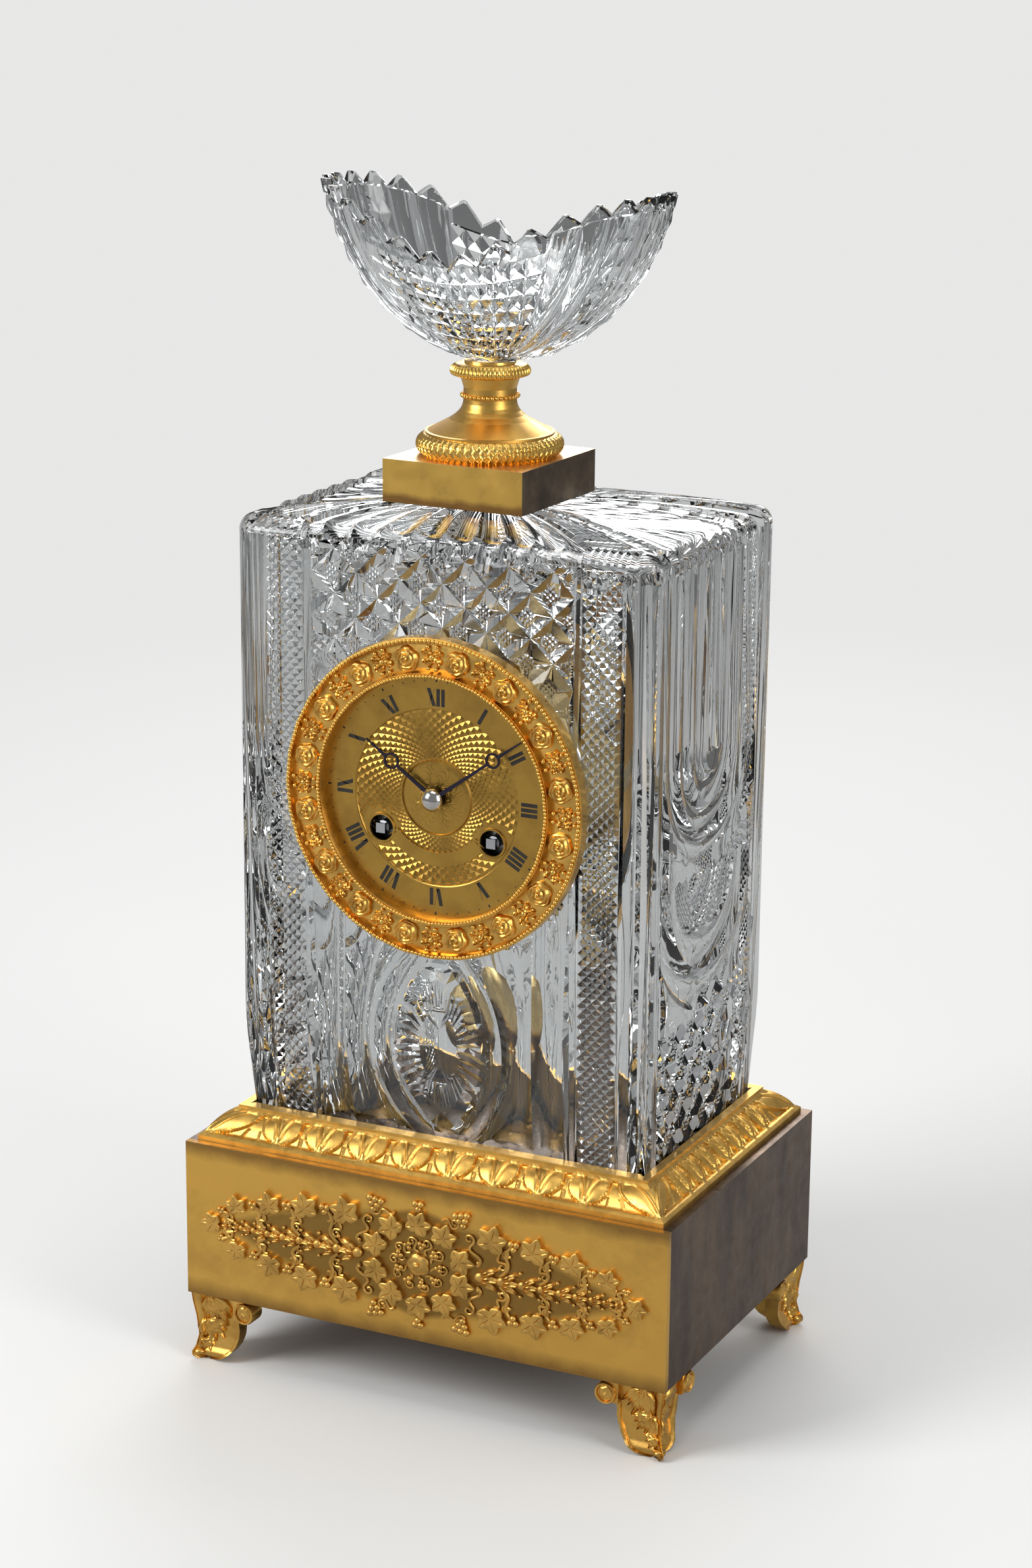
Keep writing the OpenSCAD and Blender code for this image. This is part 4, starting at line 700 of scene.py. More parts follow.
def side_panel():
    """Points and creases of a side."""
    p = Panel(SIDE_END, SIDE_STEPS)
    low, high = SEAT, SHOULDER
    whole = (-SIDE_END, low, SIDE_END, high)
    for s in (-1, 1):
        for x in [SIDE_IN + b for b in (0.0, 1.6, 3.2, 4.9, SIDE_BAND)] + [FLAT_Y, FLAT_Y + ARC / 2]:
            p.line((s * x, low), (s * x, high), whole)
    for v in (SWAG_LOW, FAN, FOLD):
        p.line((-SIDE_IN, v), (SIDE_IN, v), whole)
    p.lattice((-SIDE_IN, low, SIDE_IN, SWAG_LOW), SIDE_U, SIDE_V, 0.5, None, 3)

    def arc(r, top, n):
        """A half circle that hangs from a height."""
        half = [polar(r, math.pi * i / n) for i in range(n + 1)]
        return [(x, top - y) for x, y in half]

    box = (-SIDE_IN, SWAG_LOW, SIDE_IN, FAN)
    inner = SWAG - SWAG_WIDE / 2
    for k in range(13):
        p.curve(arc(inner + SWAG_WIDE * k / 6.0, FAN, 60), box)
    p.curve(arc(inner - 1.0, FAN, 48), box)
    q = Sheet()
    q.lattice((-24, 201, 24, FAN), FAN_U, FAN_V, 0)
    for a, b in q.edges:
        m = [(q.points[a][i] + q.points[b][i]) / 2 for i in (0, 1)]
        if math.hypot(m[0], m[1] - FAN) < inner - 1.6:
            base = len(p.points)
            p.points += [q.points[a], q.points[b]]
            p.edges.append((base, base + 1))
    box = (-SIDE_IN, SWAG_LOW, SIDE_IN, high)
    for k in range(1, 19):
        r = SIDE_IN - FOLD_WIDE * k / 6.0
        if r > 7.9:
            p.curve(arc(r, FOLD, 60), (-SIDE_IN, FAN, SIDE_IN, FOLD))
            for s in (-1, 1):
                p.line((s * r, FOLD), (s * r, high), box)
    for x in (-5.5, -2.8, 0.0, 2.8, 5.5):
        p.line((x, FOLD), (x, high), box)
    p.fill((-SIDE_IN, high - 9, SIDE_IN, high), 1.62)
    p.fill((-SIDE_IN, SWAG_LOW, SIDE_IN, high), 3.6, lambda u, v: math.hypot(u, v - FAN) > inner or v > FAN)
    return p, None, side_depth


def triangulate(sheet, hole):
    """Triangles of a sheet, with or without the hole for the bezel."""
    limit = HOLE * math.cos(math.pi / HOLE_STEPS) * 0.9995 if hole else 0.0
    return triangles(sheet.points, sheet.edges, lambda x, y: math.hypot(x, y - DIAL) >= limit)


def case_halves(v):
    """Half width and half depth of the glass at a height."""
    t = np.clip((v - SEAT - MOULD) / (CURVE - MOULD), 0, 1)
    k = (1 - t) ** 2
    return TOP_HW - FLARE_X * k, TOP_HD - FLARE_Y * k


def wrap(u, v, d, flat, front):
    """Points of the unrolled front (or right side) at depth d, on the glass."""
    u, v, d = np.broadcast_arrays(u, v, d)
    hw, hd = case_halves(v)
    main, other = (hw, hd) if front else (hd, hw)
    au, s = np.abs(u), np.sign(u)
    a = np.clip((au - flat) / CORNER, 0, math.pi / 4)
    x = np.where(au <= flat, u * (main - CORNER) / flat, s * (main - CORNER + CORNER * np.sin(a)))
    y = -(other - CORNER) - CORNER * np.cos(a)
    x, y = x - s * np.sin(a) * d, y + np.cos(a) * d
    return np.stack([x, y, v], -1)


def turned(p, quarter):
    """Turns points by quarters about the upright axis."""
    c, s = ((1, 0), (0, 1), (-1, 0), (0, -1))[quarter]
    return np.stack([c * p[:, 0] - s * p[:, 1], s * p[:, 0] + c * p[:, 1], p[:, 2]], -1)


def upright(u, y, z):
    """Points of an upright plane that faces the front."""
    return np.stack(np.broadcast_arrays(u, y, z), -1)


def crown_height(x, y):
    """Height of the domed top."""
    low = 27.5
    one = lambda v, out: 1 - (1 - np.clip((out - np.abs(v)) / (out - low), 0, 1)) ** 2
    return EDGE + CROWN * np.minimum(one(x, FLAT_X), one(y, FLAT_Y))


def build_case():
    """The glass case: four cut sides, the fluted top edge and dome, and the hollow for the movement."""
    parts = []
    for maker, flat, quarters in ((front_panel, FLAT_X, (0, 2)), (side_panel, FLAT_Y, (1, 3))):
        panel, ring, depth = maker()
        pts, tris = triangulate(panel, ring is not None)
        d = np.array([depth(u, v) for u, v in pts])
        d[pts[:, 1] < SEAT + MOULD - 1.0] *= 0.6
        d[pts[:, 1] < SEAT + 1e-3] = 0.0
        rim = pts[:, 1] > SHOULDER - 1e-3
        d[rim] = [edge_flute(u, BAND_IN if ring else SIDE_IN) for u in pts[rim, 0]]
        d[np.abs(np.abs(pts[:, 0]) - panel.half) < 1e-3] = 0.0
        shell = wrap(pts[:, 0], pts[:, 1], d, flat, ring is not None)
        for quarter in quarters:
            parts.append((turned(shell, quarter), tris, GLASS))
    # Perimeter points in order: front, right, back, left
    front_u = np.linspace(-FRONT_END, FRONT_END, FRONT_STEPS + 1)[:-1]
    side_u = np.linspace(-SIDE_END, SIDE_END, SIDE_STEPS + 1)[:-1]

    def perimeter(front, side):
        return np.concatenate([turned(front, 0), turned(side, 1), turned(front, 2), turned(side, 3)])

    def flutes(u, reach, inside, flat):
        """The broad flutes of a top edge, and the fine cuts near its corners."""
        broad = np.array([edge_flute(a, reach) for a in u])
        return broad, np.where((np.abs(u) > inside) & (np.abs(u) < flat), 0.9 * (np.arange(len(u)) % 2), 0.0)

    rows = []
    front_broad, front_fine = flutes(front_u, BAND_IN, BAND_IN, FLAT_X)
    side_broad, side_fine = flutes(side_u, SIDE_IN, SIDE_IN - 14, FLAT_Y)
    both = ((front_u, FLAT_X, True, front_broad, front_fine), (side_u, FLAT_Y, False, side_broad, side_fine))
    # The rounded top edge, from the shoulder up to the rim of the dome
    for a in np.linspace(0, math.pi / 2, 8):
        share = 1 - math.cos(a)
        row = []
        for u, flat, front, broad, fine in both:
            shoulder, inner, deeper = (wrap(u, SHOULDER, d, flat, front) for d in (0.0, CORNER, 1.0))
            cut = broad + fine * math.sin(a)
            points = shoulder * (1 - share) + inner * share
            points[:, 2] = SHOULDER + CORNER * math.sin(a)
            points = points + (deeper - shoulder) * (cut * math.cos(a))[:, None]
            points[:, 2] -= cut * math.sin(a)
            row.append(points)
        rows.append(perimeter(*row))
    outer = rows[-1].copy()
    outer[:, 2] = EDGE
    cuts = np.concatenate([front_broad + front_fine, side_broad + side_fine] * 2)
    ang = np.arctan2(outer[:, 1] - STAND[1] + CASE_Y, outer[:, 0] - STAND[0])

    def round_bolt(r, z):
        """A circle about the central bolt, with a point towards each point of the perimeter."""
        return upright(STAND[0] + r * np.cos(ang), STAND[1] - CASE_Y + r * np.sin(ang), z)

    # The dome, then the hole for the central bolt
    ring = round_bolt(24, 0.0)
    for t in np.linspace(0.06, 1.0, 14):
        points = outer * (1 - t) + ring * t
        fade = (1 - t) ** 0.7 * (0.98 if t < 0.99 else 0)
        points[:, 2] = crown_height(points[:, 0], points[:, 1]) - cuts * fade
        rows.append(points)
    bore = round_bolt(BORE, CEILING)
    rows += [round_bolt(14.0, EDGE + CROWN), round_bolt(BORE, EDGE + CROWN), bore]
    n = len(ang)
    parts.append((np.concatenate(rows), strip(len(rows), n, True), GLASS))
    # Underside and the hollow
    foot = perimeter(wrap(front_u, SEAT, 0.0, FLAT_X, True), wrap(side_u, SEAT, 0.0, FLAT_Y, False))
    front_lip = upright(front_u * INNER_X / FRONT_END, -INNER_Y, SEAT)
    side_lip = upright(side_u * INNER_Y / SIDE_END, -INNER_X, SEAT)
    parts.append((np.concatenate([foot, perimeter(front_lip, side_lip)]), strip(2, n, True), GLASS))
    hole = circle(HOLE, HOLE_STEPS, 0.0, DIAL)
    for half, away, lip, quarters, holed in ((INNER_X, INNER_Y, front_lip, (0, 2), True),
                                             (INNER_Y, INNER_X, side_lip, (1, 3), False)):
        sheet = Sheet()
        sheet.loop([(c, SEAT) for c in lip[:, 0]] + [(half, SEAT), (half, CEILING), (-half, CEILING)])
        if holed:
            sheet.loop(hole)
        flat, tris = triangulate(sheet, holed)
        for quarter in quarters:
            parts.append((turned(upright(flat[:, 0], -away, flat[:, 1]), quarter), tris, GLASS))
    hole = np.array(hole)
    tunnel = np.concatenate([upright(hole[:, 0], y, hole[:, 1]) for y in (-TOP_HD, -INNER_Y)])
    for quarter in (0, 2):
        parts.append((turned(tunnel, quarter), strip(2, HOLE_STEPS, True), GLASS))
    ceiling = Sheet()
    ceiling.loop([(-INNER_X, -INNER_Y), (INNER_X, -INNER_Y), (INNER_X, INNER_Y), (-INNER_X, INNER_Y)])
    ceiling.loop([tuple(q[:2]) for q in bore])
    flat, tris = triangles(ceiling.points, ceiling.edges, lambda x, y: True, 1e-5)
    far_out = np.hypot(flat[:, 0] - STAND[0], flat[:, 1] - STAND[1] + CASE_Y) > BORE + 0.8
    tris = [t for t in tris if far_out[list(t)].any()]
    parts.append((upright(flat[:, 0], flat[:, 1], CEILING), tris, GLASS))
    parts = [(on_case(v), f, m) for v, f, m in parts]
    return piece("glass_case", parts, nodes=("crystal_case",), angle=18.0, weld=0.002)


build_case()


# The glass bowl

# Height of the bowl's underside, and half axes of its body
BOWL_FOOT = 424.1
BOWL_A, BOWL_B, BOWL_C = 80.4, 46.2, 91.0
BOWL_TURN, BOWL_X, BOWL_Y = math.radians(-3.0), 3.4, -2.4
TEETH = 30
# Height of the rim on the long sides and at the ends, and of a tooth
RIM_LOW, RIM_HIGH, TOOTH = 46.2, 70.4, 6.6
# Places of the columns across a tooth, whose tip is at 0
ACROSS = (-1.0, -0.75, -0.5, -0.25, -0.08, 0.08, 0.25, 0.5, 0.75)
FIELD_ROWS = 7
# Thickness of the wall, height of the floor inside and of the bevel at the rim
WALL, FLOOR, LIP = 5.0, 5.4, 0.8


def peak(t):
    """Height of the curve on which the tips of the teeth lie."""
    u = abs(math.cos(t))
    return RIM_LOW + (RIM_HIGH - RIM_LOW) * u * u * (3.0 - 2.0 * u)


def rim_height(t, x):
    """Height of the rim at a place across a tooth."""
    return peak(t) - TOOTH * (1 - 0.2 * abs(math.cos(t))) * max(0.0, abs(x) - 0.09) / 0.91


def field_top(t, rank):
    """Height of the groove over the pyramids, or of the foot of the teeth at the ends."""
    if rank >= 5:
        return 40.3 + 24.0 * math.cos(t) ** 2
    return rim_height(t, 1.0) - 1.0


def tooth_rank(k):
    """Steps from the nearer end: 5 and more on the long sides."""
    k %= TEETH // 2
    return min(k, TEETH // 2 - k)


def bowl_cut(rank, x, y, band):
    """Depth of the cuts: pyramids on the long sides, broad flutes and small pyramids in turn at the ends."""
    if band:
        return 0.25 + 0.3 * abs(x) if rank >= 5 else 0.3 + 1.5 * abs(x)
    inner = abs(2 * abs(x) - 1)
    if rank >= 5:
        return 1.8 * max(inner, abs(y))
    if rank in (0, 2):
        return 1.3 * max(inner, abs(y))
    return 2.1 * (1 - x * x)


def bowl_skin(t, h, cut):
    """A point of the outside, cut that deep."""
    s = math.sqrt(max(0.0, 1 - ((BOWL_C - h) / BOWL_C) ** 2))
    x, y = BOWL_A * s * math.cos(t), BOWL_B * s * math.sin(t)
    n = Vector((x / BOWL_A ** 2, y / BOWL_B ** 2, (h - BOWL_C) / BOWL_C ** 2)).normalized() * cut
    return [x - n[0], y - n[1], BOWL_FOOT + h - n[2]]


def bowl_inside(t, h, wall):
    """A point of the inside, at a wall's thickness."""
    s = math.sqrt(max(0.0, 1 - ((BOWL_C - h) / (BOWL_C - wall)) ** 2))
    return [(BOWL_A - wall) * s * math.cos(t), (BOWL_B - wall) * s * math.sin(t), BOWL_FOOT + h]


def build_bowl():
    """The boat shaped bowl, turned a little on its stand."""
    columns = [(k, x, (k + x / 2) * TAU / TEETH) for k in range(TEETH) for x in ACROSS]
    low = 2.0
    shares = [(k / FIELD_ROWS) ** 1.2 for k in range(FIELD_ROWS + 1)]
    levels = [(a + (b - a) * j / 4, j / 2 - 1) for a, b in zip(shares, shares[1:]) for j in range(4)]
    levels.append((1.0, 1.0))

    def sides(k, x):
        """Ranks of the teeth that a column belongs to, the higher one first."""
        ranks = [tooth_rank(k), tooth_rank(k - 1)] if x == -1.0 else [tooth_rank(k)]
        return sorted(ranks, reverse=True)

    rows = []
    for share, y in levels:
        rows.append([bowl_skin(t, low + (field_top(t, sides(k, x)[0]) - low) * share,
                               max(bowl_cut(r, x, y, False) for r in sides(k, x))) for k, x, t in columns])
    for share, shift in ((0.0, 0.8), (0.5, 0.4), (1.0, -0.5)):
        row = []
        for k, x, t in columns:
            base, top = field_top(t, sides(k, x)[0]), rim_height(t, x)
            cut = max(bowl_cut(r, x, 0, True) for r in sides(k, x))
            row.append(bowl_skin(t, base + (top - base) * share + shift, cut))
        rows.append(row)
    for wall, drop in ((1.1, 0.0), (4.3, 0.1), (WALL, LIP)):
        rows.append([bowl_inside(t, rim_height(t, x) - drop, wall) for k, x, t in columns])
    for i in range(1, 29):
        share = 1 - i / 28
        rows.append([bowl_inside(t, FLOOR + (rim_height(t, x * share) - LIP - FLOOR) * share ** 1.5, WALL)
                     for k, x, t in columns])
    n = len(columns)
    c, d = math.cos(BOWL_TURN), math.sin(BOWL_TURN)
    x, y, z = np.array(rows).reshape(-1, 3).T
    body = np.column_stack([BOWL_X + c * x - d * y, BOWL_Y + d * x + c * y, z])
    foot = [(*polar(7, t), z) for z in (421.9, 424.9) for k, x, t in columns]
    verts = np.concatenate([np.array(foot), body])
    count = len(verts) // n
    faces = []
    for r in range(count - 1):
        for i in range(n):
            a, b = r * n + i, r * n + (i + 1) % n
            e, f = a + n, b + n
            x = ACROSS[i % len(ACROSS)] + 0.05
            y = (r - 2) % 4 - 1.5
            if (2 * x + (1 if x < 0 else -1)) * y > 0:
                faces += [(a, b, f), (a, f, e)]
            else:
                faces += [(a, b, e), (b, f, e)]
    faces.append(tuple(range(n)))
    faces.append(tuple((count - 1) * n + i for i in range(n)))
    parts = [(on_stand(verts), faces, GLASS)]
    return piece("glass_bowl", parts, nodes=("crystal_bowl",), angle=22.0)


build_bowl()


# Relief ornament

BALLS = {}


def ball(at, radius, fine=2, squash=1.0):
    """A small ball, flattened by squash."""
    if fine not in BALLS:
        bm = bmesh.new()
        bmesh.ops.create_icosphere(bm, subdivisions=fine, radius=1.0)
        order = {v: i for i, v in enumerate(bm.verts)}
        faces = [tuple(order[v] for v in f.verts) for f in bm.faces]
        BALLS[fine] = (np.array([tuple(v.co) for v in bm.verts]), faces)
        bm.free()
    verts, faces = BALLS[fine]
    return verts * radius * np.array([1, 1, squash]) + np.asarray(at, float), faces


def loops(rows, poles=True):
    """Rows of points joined into a closed shell, with a face over the first and the last row."""
    n = len(rows[0])
    faces = strip(len(rows), n, True)
    if poles:
        faces += [tuple(range(n)), tuple((len(rows) - 1) * n + i for i in range(n))]
    return np.array(rows, float).reshape(-1, 3), faces


def put(part, x=0.0, y=0.0, turn=0.0, z=0.0):
    """Turns a part about its own z and moves it in its plane."""
    u, v, w = part[0].T
    c, s = math.cos(turn), math.sin(turn)
    return np.column_stack([c * u - s * v + x, s * u + c * v + y, w + z]), part[1]


def leaf(length, width, rise, lobes=3, notch=0.28, low=-0.4, grid=(18, 8), bend=0.0):
    """A long leaf on x with a midrib, side veins and a scalloped edge."""
    n, m = grid
    rows = []
    for i in range(n + 1):
        s = i / n
        body = math.sin(math.pi * (0.05 + 0.94 * s) ** 0.8)
        w = width / 2 * body * (1 - notch * abs(math.cos(lobes * math.pi * s)))
        side = bend * length * math.sin(math.pi * s / 2) ** 2
        line = []
        for j in range(m + 1):
            t = 2 * j / m - 1
            vein = 0.13 * math.cos(TAU * (s * lobes * 1.5 - abs(t) * 0.8)) - 0.3 * math.exp(-(t / 0.18) ** 2)
            line.append((length * s, side + w * t, rise * (body ** 0.5 * (1 - 0.55 * t * t) + vein)))
        rows.append(line + [(length * s, side + w, low), (length * s, side - w, low)])
    return loops(rows)


def vine_leaf(size, rise, low=-0.02):
    """A flat five lobed leaf with its tip on x, a thick edge and cut veins."""
    lobes = ((0, 1.0), (58, 0.92), (-58, 0.92), (118, 0.76), (-118, 0.76))
    away = lambda a, c: abs((a - c + 180) % 360 - 180)
    rings = ((0.05, 0.95), (0.25, 1.0), (0.5, 1.0), (0.72, 1.0), (0.92, 0.97), (1.0, 0.86), (1.0, 0.3),
             (0.97, low / rise))
    rows = []
    for share, z in rings:
        line = []
        for i in range(72):
            a = 5.0 * i
            reach = max(0.6 + (l - 0.6) * max(0.0, 1 - away(a, c) / 30.0) for c, l in lobes)
            r = size * share * (reach - 0.22 * max(0.0, 1 - away(a, 180) / 24.0))
            cut = 0.17 if 0.1 < share < 0.8 and min(away(a, c) for c, l in lobes) < 3 else 0.0
            line.append((*polar(r, math.radians(a)), rise * (z - cut)))
        rows.append(line)
    return loops(rows)


def rose(radius, rise, low=-0.4, petals=5, whorl=3.0, count=44):
    """A flower whose petals wind round the heart."""
    rows = []
    for k in range(15):
        s = max(0.01, k / 14)
        line = []
        for i in range(count):
            a = TAU * i / count
            edge = 1 - 0.13 * s * s * (1 - abs(math.sin(petals * a / 2)))
            fold = abs(math.sin(math.pi * (whorl * s - a / TAU)))
            z = rise * (0.74 * math.sqrt(max(0.0, 1 - (0.94 * s) ** 2)) + 0.3 * fold * (1 - 0.45 * s))
            line.append((*polar(radius * s * edge, a), z))
        rows.append(line)
    rows.append([(p[0], p[1], low) for p in rows[-1]])
    return loops(rows)


def tube(path, radius, sides=7, thin=0.55):
    """A round stem along a flat path that thins towards its end."""
    path = np.asarray(path, float)
    step = np.gradient(path, axis=0)
    step /= np.linalg.norm(step, axis=1)[:, None]
    rows = []
    for i, (p, d) in enumerate(zip(path, step)):
        r = radius * (1 - (1 - thin) * i / (len(path) - 1))
        rows.append([(p[0] - d[1] * r * math.cos(a), p[1] + d[0] * r * math.cos(a), radius + r * math.sin(a))
                     for a in (TAU * k / sides for k in range(sides))])
    return loops(rows)


def tendril(a, b, sway, size, hand):
    """A path from a to b that sways to one side and ends in a curl of that size."""
    a, b = np.asarray(a, float), np.asarray(b, float)
    d = b - a
    side = np.array([-d[1], d[0]])
    pts = [a + d * s + side * sway * math.sin(TAU * s) for s in np.linspace(0, 1, 12)]
    ahead = (pts[-1] - pts[-2]) / np.linalg.norm(pts[-1] - pts[-2])
    out = np.array([-ahead[1], ahead[0]]) * hand
    centre = pts[-1] + out * size
    start = math.atan2(-out[1], -out[0])
    for k in range(1, 16):
        t = k / 15
        r = size * (1 - 0.72 * t)
        ang = start + hand * t * TAU * 1.05
        pts.append(centre + r * np.array([math.cos(ang), math.sin(ang)]))
    return pts


def slab(points, edges, keep, height, low):
    """A plate over a plane drawing: a height for every point and a flat underside."""
    pts, tris = triangles(points, edges, keep)
    used = sorted({i for t in tris for i in t})
    back = {v: k for k, v in enumerate(used)}
    tris, pts = [tuple(back[i] for i in t) for t in tris], pts[used]
    n = len(pts)
    sides = {e for t in tris for e in ((t[0], t[1]), (t[1], t[2]), (t[2], t[0]))}
    faces = tris + [(n + c, n + b, n + a) for a, b, c in tris]
    faces += [(b, a, n + a, n + b) for a, b in sides if (b, a) not in sides]
    z = np.array([height(x, y) for x, y in pts])
    return np.concatenate([np.column_stack([pts, z]), np.column_stack([pts, np.full(n, low)])]), faces


# The dial

FACE = 61.8
DIAL_TOP = FACE + 1.2
WINDERS = ((24.6, -15.5), (-24.6, -15.5))
SPIRALS = 52


def numeral(text):
    """Strokes of a Roman numeral about its middle: x at the foot, x at the head, width and paint."""
    strokes, x = [], 0.0
    for letter in text:
        if letter == "I":
            strokes.append((x + 0.95, x + 0.95, 1.55, WAX))
            x += 2.15
        elif letter == "V":
            strokes += [(x + 2.1, x + 0.7, 1.65, WAX), (x + 2.1, x + 3.6, 0.4, WORN)]
            x += 4.1
        else:
            strokes += [(x + 3.2, x + 0.7, 1.65, WAX), (x + 0.6, x + 3.3, 0.4, WORN)]
            x += 4.0
    return [(a - x / 2, b - x / 2, w, m) for a, b, w, m in strokes]


def build_dial():
    """The dial: numeral ring, engine turned middle, crescent, rosette, holes for winding, and its feet."""
    top, sunk = DIAL_TOP, DIAL_TOP - 0.62
    rings = [(0, 0, r, 120) for r in (51.25, 50.0, 36.6, 36.2, 35.9)]
    rings += [(0, 0, r, 72) for r in (15.6, 15.2, 14.9)] + [(0, 0, 3.75, 40)]
    rings += [(x, y, r, 40) for x, y in WINDERS for r in (5.3, 6.1, 6.3)]
    drawing = Sheet()
    for x, y, r, n in rings:
        drawing.loop(circle(r, n, x, y))
    near = lambda x, y: min(math.hypot(x - a, y - b) for a, b in WINDERS)

    def height(x, y):
        r = math.hypot(x, y)
        if near(x, y) < 6.2 or r > 36.5 or 15.1 < r < 15.4:
            return top - (0.12 if near(x, y) < 5.4 else 0.0)
        return top - 0.18 if 36.1 < r < 36.3 else sunk

    metal_left = lambda x, y: math.hypot(x, y) > 3.7 and near(x, y) > 5.25
    parts = [(*slab(drawing.points, drawing.edges, metal_left, height, FACE), FACEPLATE)]
    # Engine turned pyramids on two families of crossing spirals
    shift, half = math.log(15.9), math.pi / SPIRALS
    reach = lambda a, j: polar(math.exp(shift + j * half), a)
    verts, faces = [], []
    for j in range(1, 14):
        for i in range(SPIRALS):
            a = (2 * i + j % 2) * half
            x, y = reach(a, j)
            down = abs((math.degrees(a) - 270 + 180) % 360 - 180)
            if near(x, y) < 8.2 or (22.3 < math.hypot(x, y) < 28.6 and down < 52):
                continue
            base = len(verts)
            corners = [reach(a, j - 1), reach(a + half, j), reach(a, j + 1), reach(a - half, j)]
            verts += [(*c, sunk - 0.02) for c in corners] + [(x, y, sunk + 0.62 * (0.55 + 0.45 * j / 13))]
            faces += [(base + k, base + (k + 1) % 4, base + 4) for k in range(4)]
            faces.append((base + 3, base + 2, base + 1, base))
    parts.append((verts, faces, FACEPLATE))
    # Plain crescent between the winding holes
    arc = [math.radians(270 + t) for t in np.linspace(-50, 50, 41)]
    crescent = Sheet()
    crescent.loop([polar(22.6, a) for a in arc] + [polar(28.2, a) for a in reversed(arc)])
    inside = lambda x, y: 22.5 < math.hypot(x, y) < 28.3 and y < 0 and near(x, y) > 5.9
    level = lambda x, y: top - 0.12
    parts.append((*slab(crescent.points, crescent.edges, inside, level, sunk - 0.02), FACEPLATE))
    # Rosette of swirled leaves round the centre
    count, rows = 160, []
    for k in range(23):
        s = k / 22
        line = []
        for i in range(count):
            a = TAU * i / count
            r = 4.6 + 10.1 * s
            petal = abs(math.cos(4 * a + 1.5 * s))
            fine = 0.5 + 0.5 * math.cos(TAU * (s * 5 - 2.2 * petal))
            rise = 0.5 * (0.3 + 0.4 * petal * (1 - s) + 0.3 * fine) * min(1.0, 6 * (1 - s) + 0.1)
            line.append((*polar(r, a), sunk + rise))
        rows.append(line)
    inner = [[(p[0], p[1], sunk - 0.02) for p in rows[-1]], [(p[0], p[1], sunk - 0.02) for p in rows[0]]]
    verts, faces = loops(rows + inner + rows[:1], False)
    n = len(verts) - count
    parts.append((verts[:n], [tuple(i % n for i in q) for q in faces], FACEPLATE))
    # Numerals and minute marks
    ink = []
    for hour, text in enumerate("I II III IIII V VI VII VIII IX X XI XII".split(), 1):
        turn = -math.radians(30 * hour)
        for foot, head, wide, paint in numeral(text):
            half = wide / 2
            flat = [(foot - half, 37.4), (foot + half, 37.4), (head + half, 44.5), (head - half, 44.5)]
            ink.append((flat, turn, paint))
    for minute in range(60):
        long = 1.5 if minute % 15 == 0 else 1.1 if minute % 5 == 0 else 0.7
        half = 0.35 if minute % 5 == 0 else 0.18
        flat = [(-half, 47.2), (half, 47.2), (half, 47.2 + long), (-half, 47.2 + long)]
        ink.append((flat, -math.radians(6 * minute), WAX))
    for flat, turn, paint in ink:
        flat = np.array(flat)
        c, s = math.cos(turn), math.sin(turn)
        flat = np.column_stack([c * flat[:, 0] - s * flat[:, 1], s * flat[:, 0] + c * flat[:, 1]])
        parts.append((*loops([[(*q, z) for q in flat] for z in (top - 0.1, top + 0.04)]), paint))
    # Feet of the dial behind the plate
    for a in (30, 150, 250):
        spot = polar(43, math.radians(a))
        parts.append((*loops([[(*q, z) for q in circle(1.4, 16, *spot)] for z in (53.8, FACE)]), FACEPLATE))
    parts = [(on_dial(np.asarray(v, float)), f, m) for v, f, m in parts]
    return piece("engraved_dial", parts, nodes=("dial_plate",), angle=20.0)


def build_bezel():
    """The cast bezel: roses and leaves between two rows of beads."""
    inner, outer, back, face = 49.5, 65.6, 61.5, 69.9
    section = [(inner, DIAL_TOP), (51.6, DIAL_TOP), (51.6, back - 6.5), (52.8, back - 6.5), (52.8, back)]
    section += [(outer, back), (outer, face - 3.0), (64.0, face - 2.7)]
    wide = outer - inner - 4.6
    section += [(63.4 - wide * s, face - 4.3 + 0.7 * math.sin(math.pi * s)) for s in np.linspace(0, 1, 12)]
    section += [(51.5, face - 1.9), (50.0, face - 2.0), (inner, face - 3)]
    parts = [(*ring_lathe(section, 180), CAST)]
    parts.append((*ball_ring("rim_beads", 64.7, 226, 0.88, face - 2.0), BRIGHT))
    parts.append((*ball_ring("inner_beads", 50.6, 216, 0.74, face - 1.3), BRIGHT))
    floor = face - 4.0
    # Leaves beside a rose: radius, size, bend, lean and how far they are sunk
    pairs = ((55.6, (7.0, 4.4, 2.6), 0.12, -0.5, 0.35), (60.4, (6.6, 4.0, 2.5), -0.12, 0.55, 0.45))
    dice = random.Random(11)
    for k in range(16):
        a = (k + 0.5) * TAU / 16
        parts.append((*put(rose(5.4, 4.0), *polar(57.4, a), dice.uniform(0, TAU), floor), CAST))
        for s in (-1, 1):
            b = a + s * 0.118
            for r, size, bend, lean, sink in pairs:
                aim = b + s * (math.pi / 2 + lean) + dice.uniform(-0.15, 0.15)
                parts.append((*put(leaf(*size, 3, bend=bend * s), *polar(r, b), aim, floor - sink), CAST))
        mid = a + TAU / 32
        for r, d in ((57.9, 0.0), (62.0, 0.03), (62.4, -0.035), (53.4, 0.03), (53.2, -0.035)):
            spot = (*polar(r, mid + d), floor + 1.0)
            parts.append((*ball(spot, 1.3 if 57.5 < r < 58 else 0.9), BRIGHT))
    parts = [(on_dial(np.asarray(v, float)), f, m) for v, f, m in parts]
    return piece("rose_bezel", parts, nodes=("front_bezel",), angle=40.0)


# The leaf moulding

# Half sizes of the frame, how far its slope comes forward, and the width of the leaf on a mitre
FRAME_X, FRAME_Y, SLOPE, MITRE = 106.2, 73.2, 12.6, 17.0


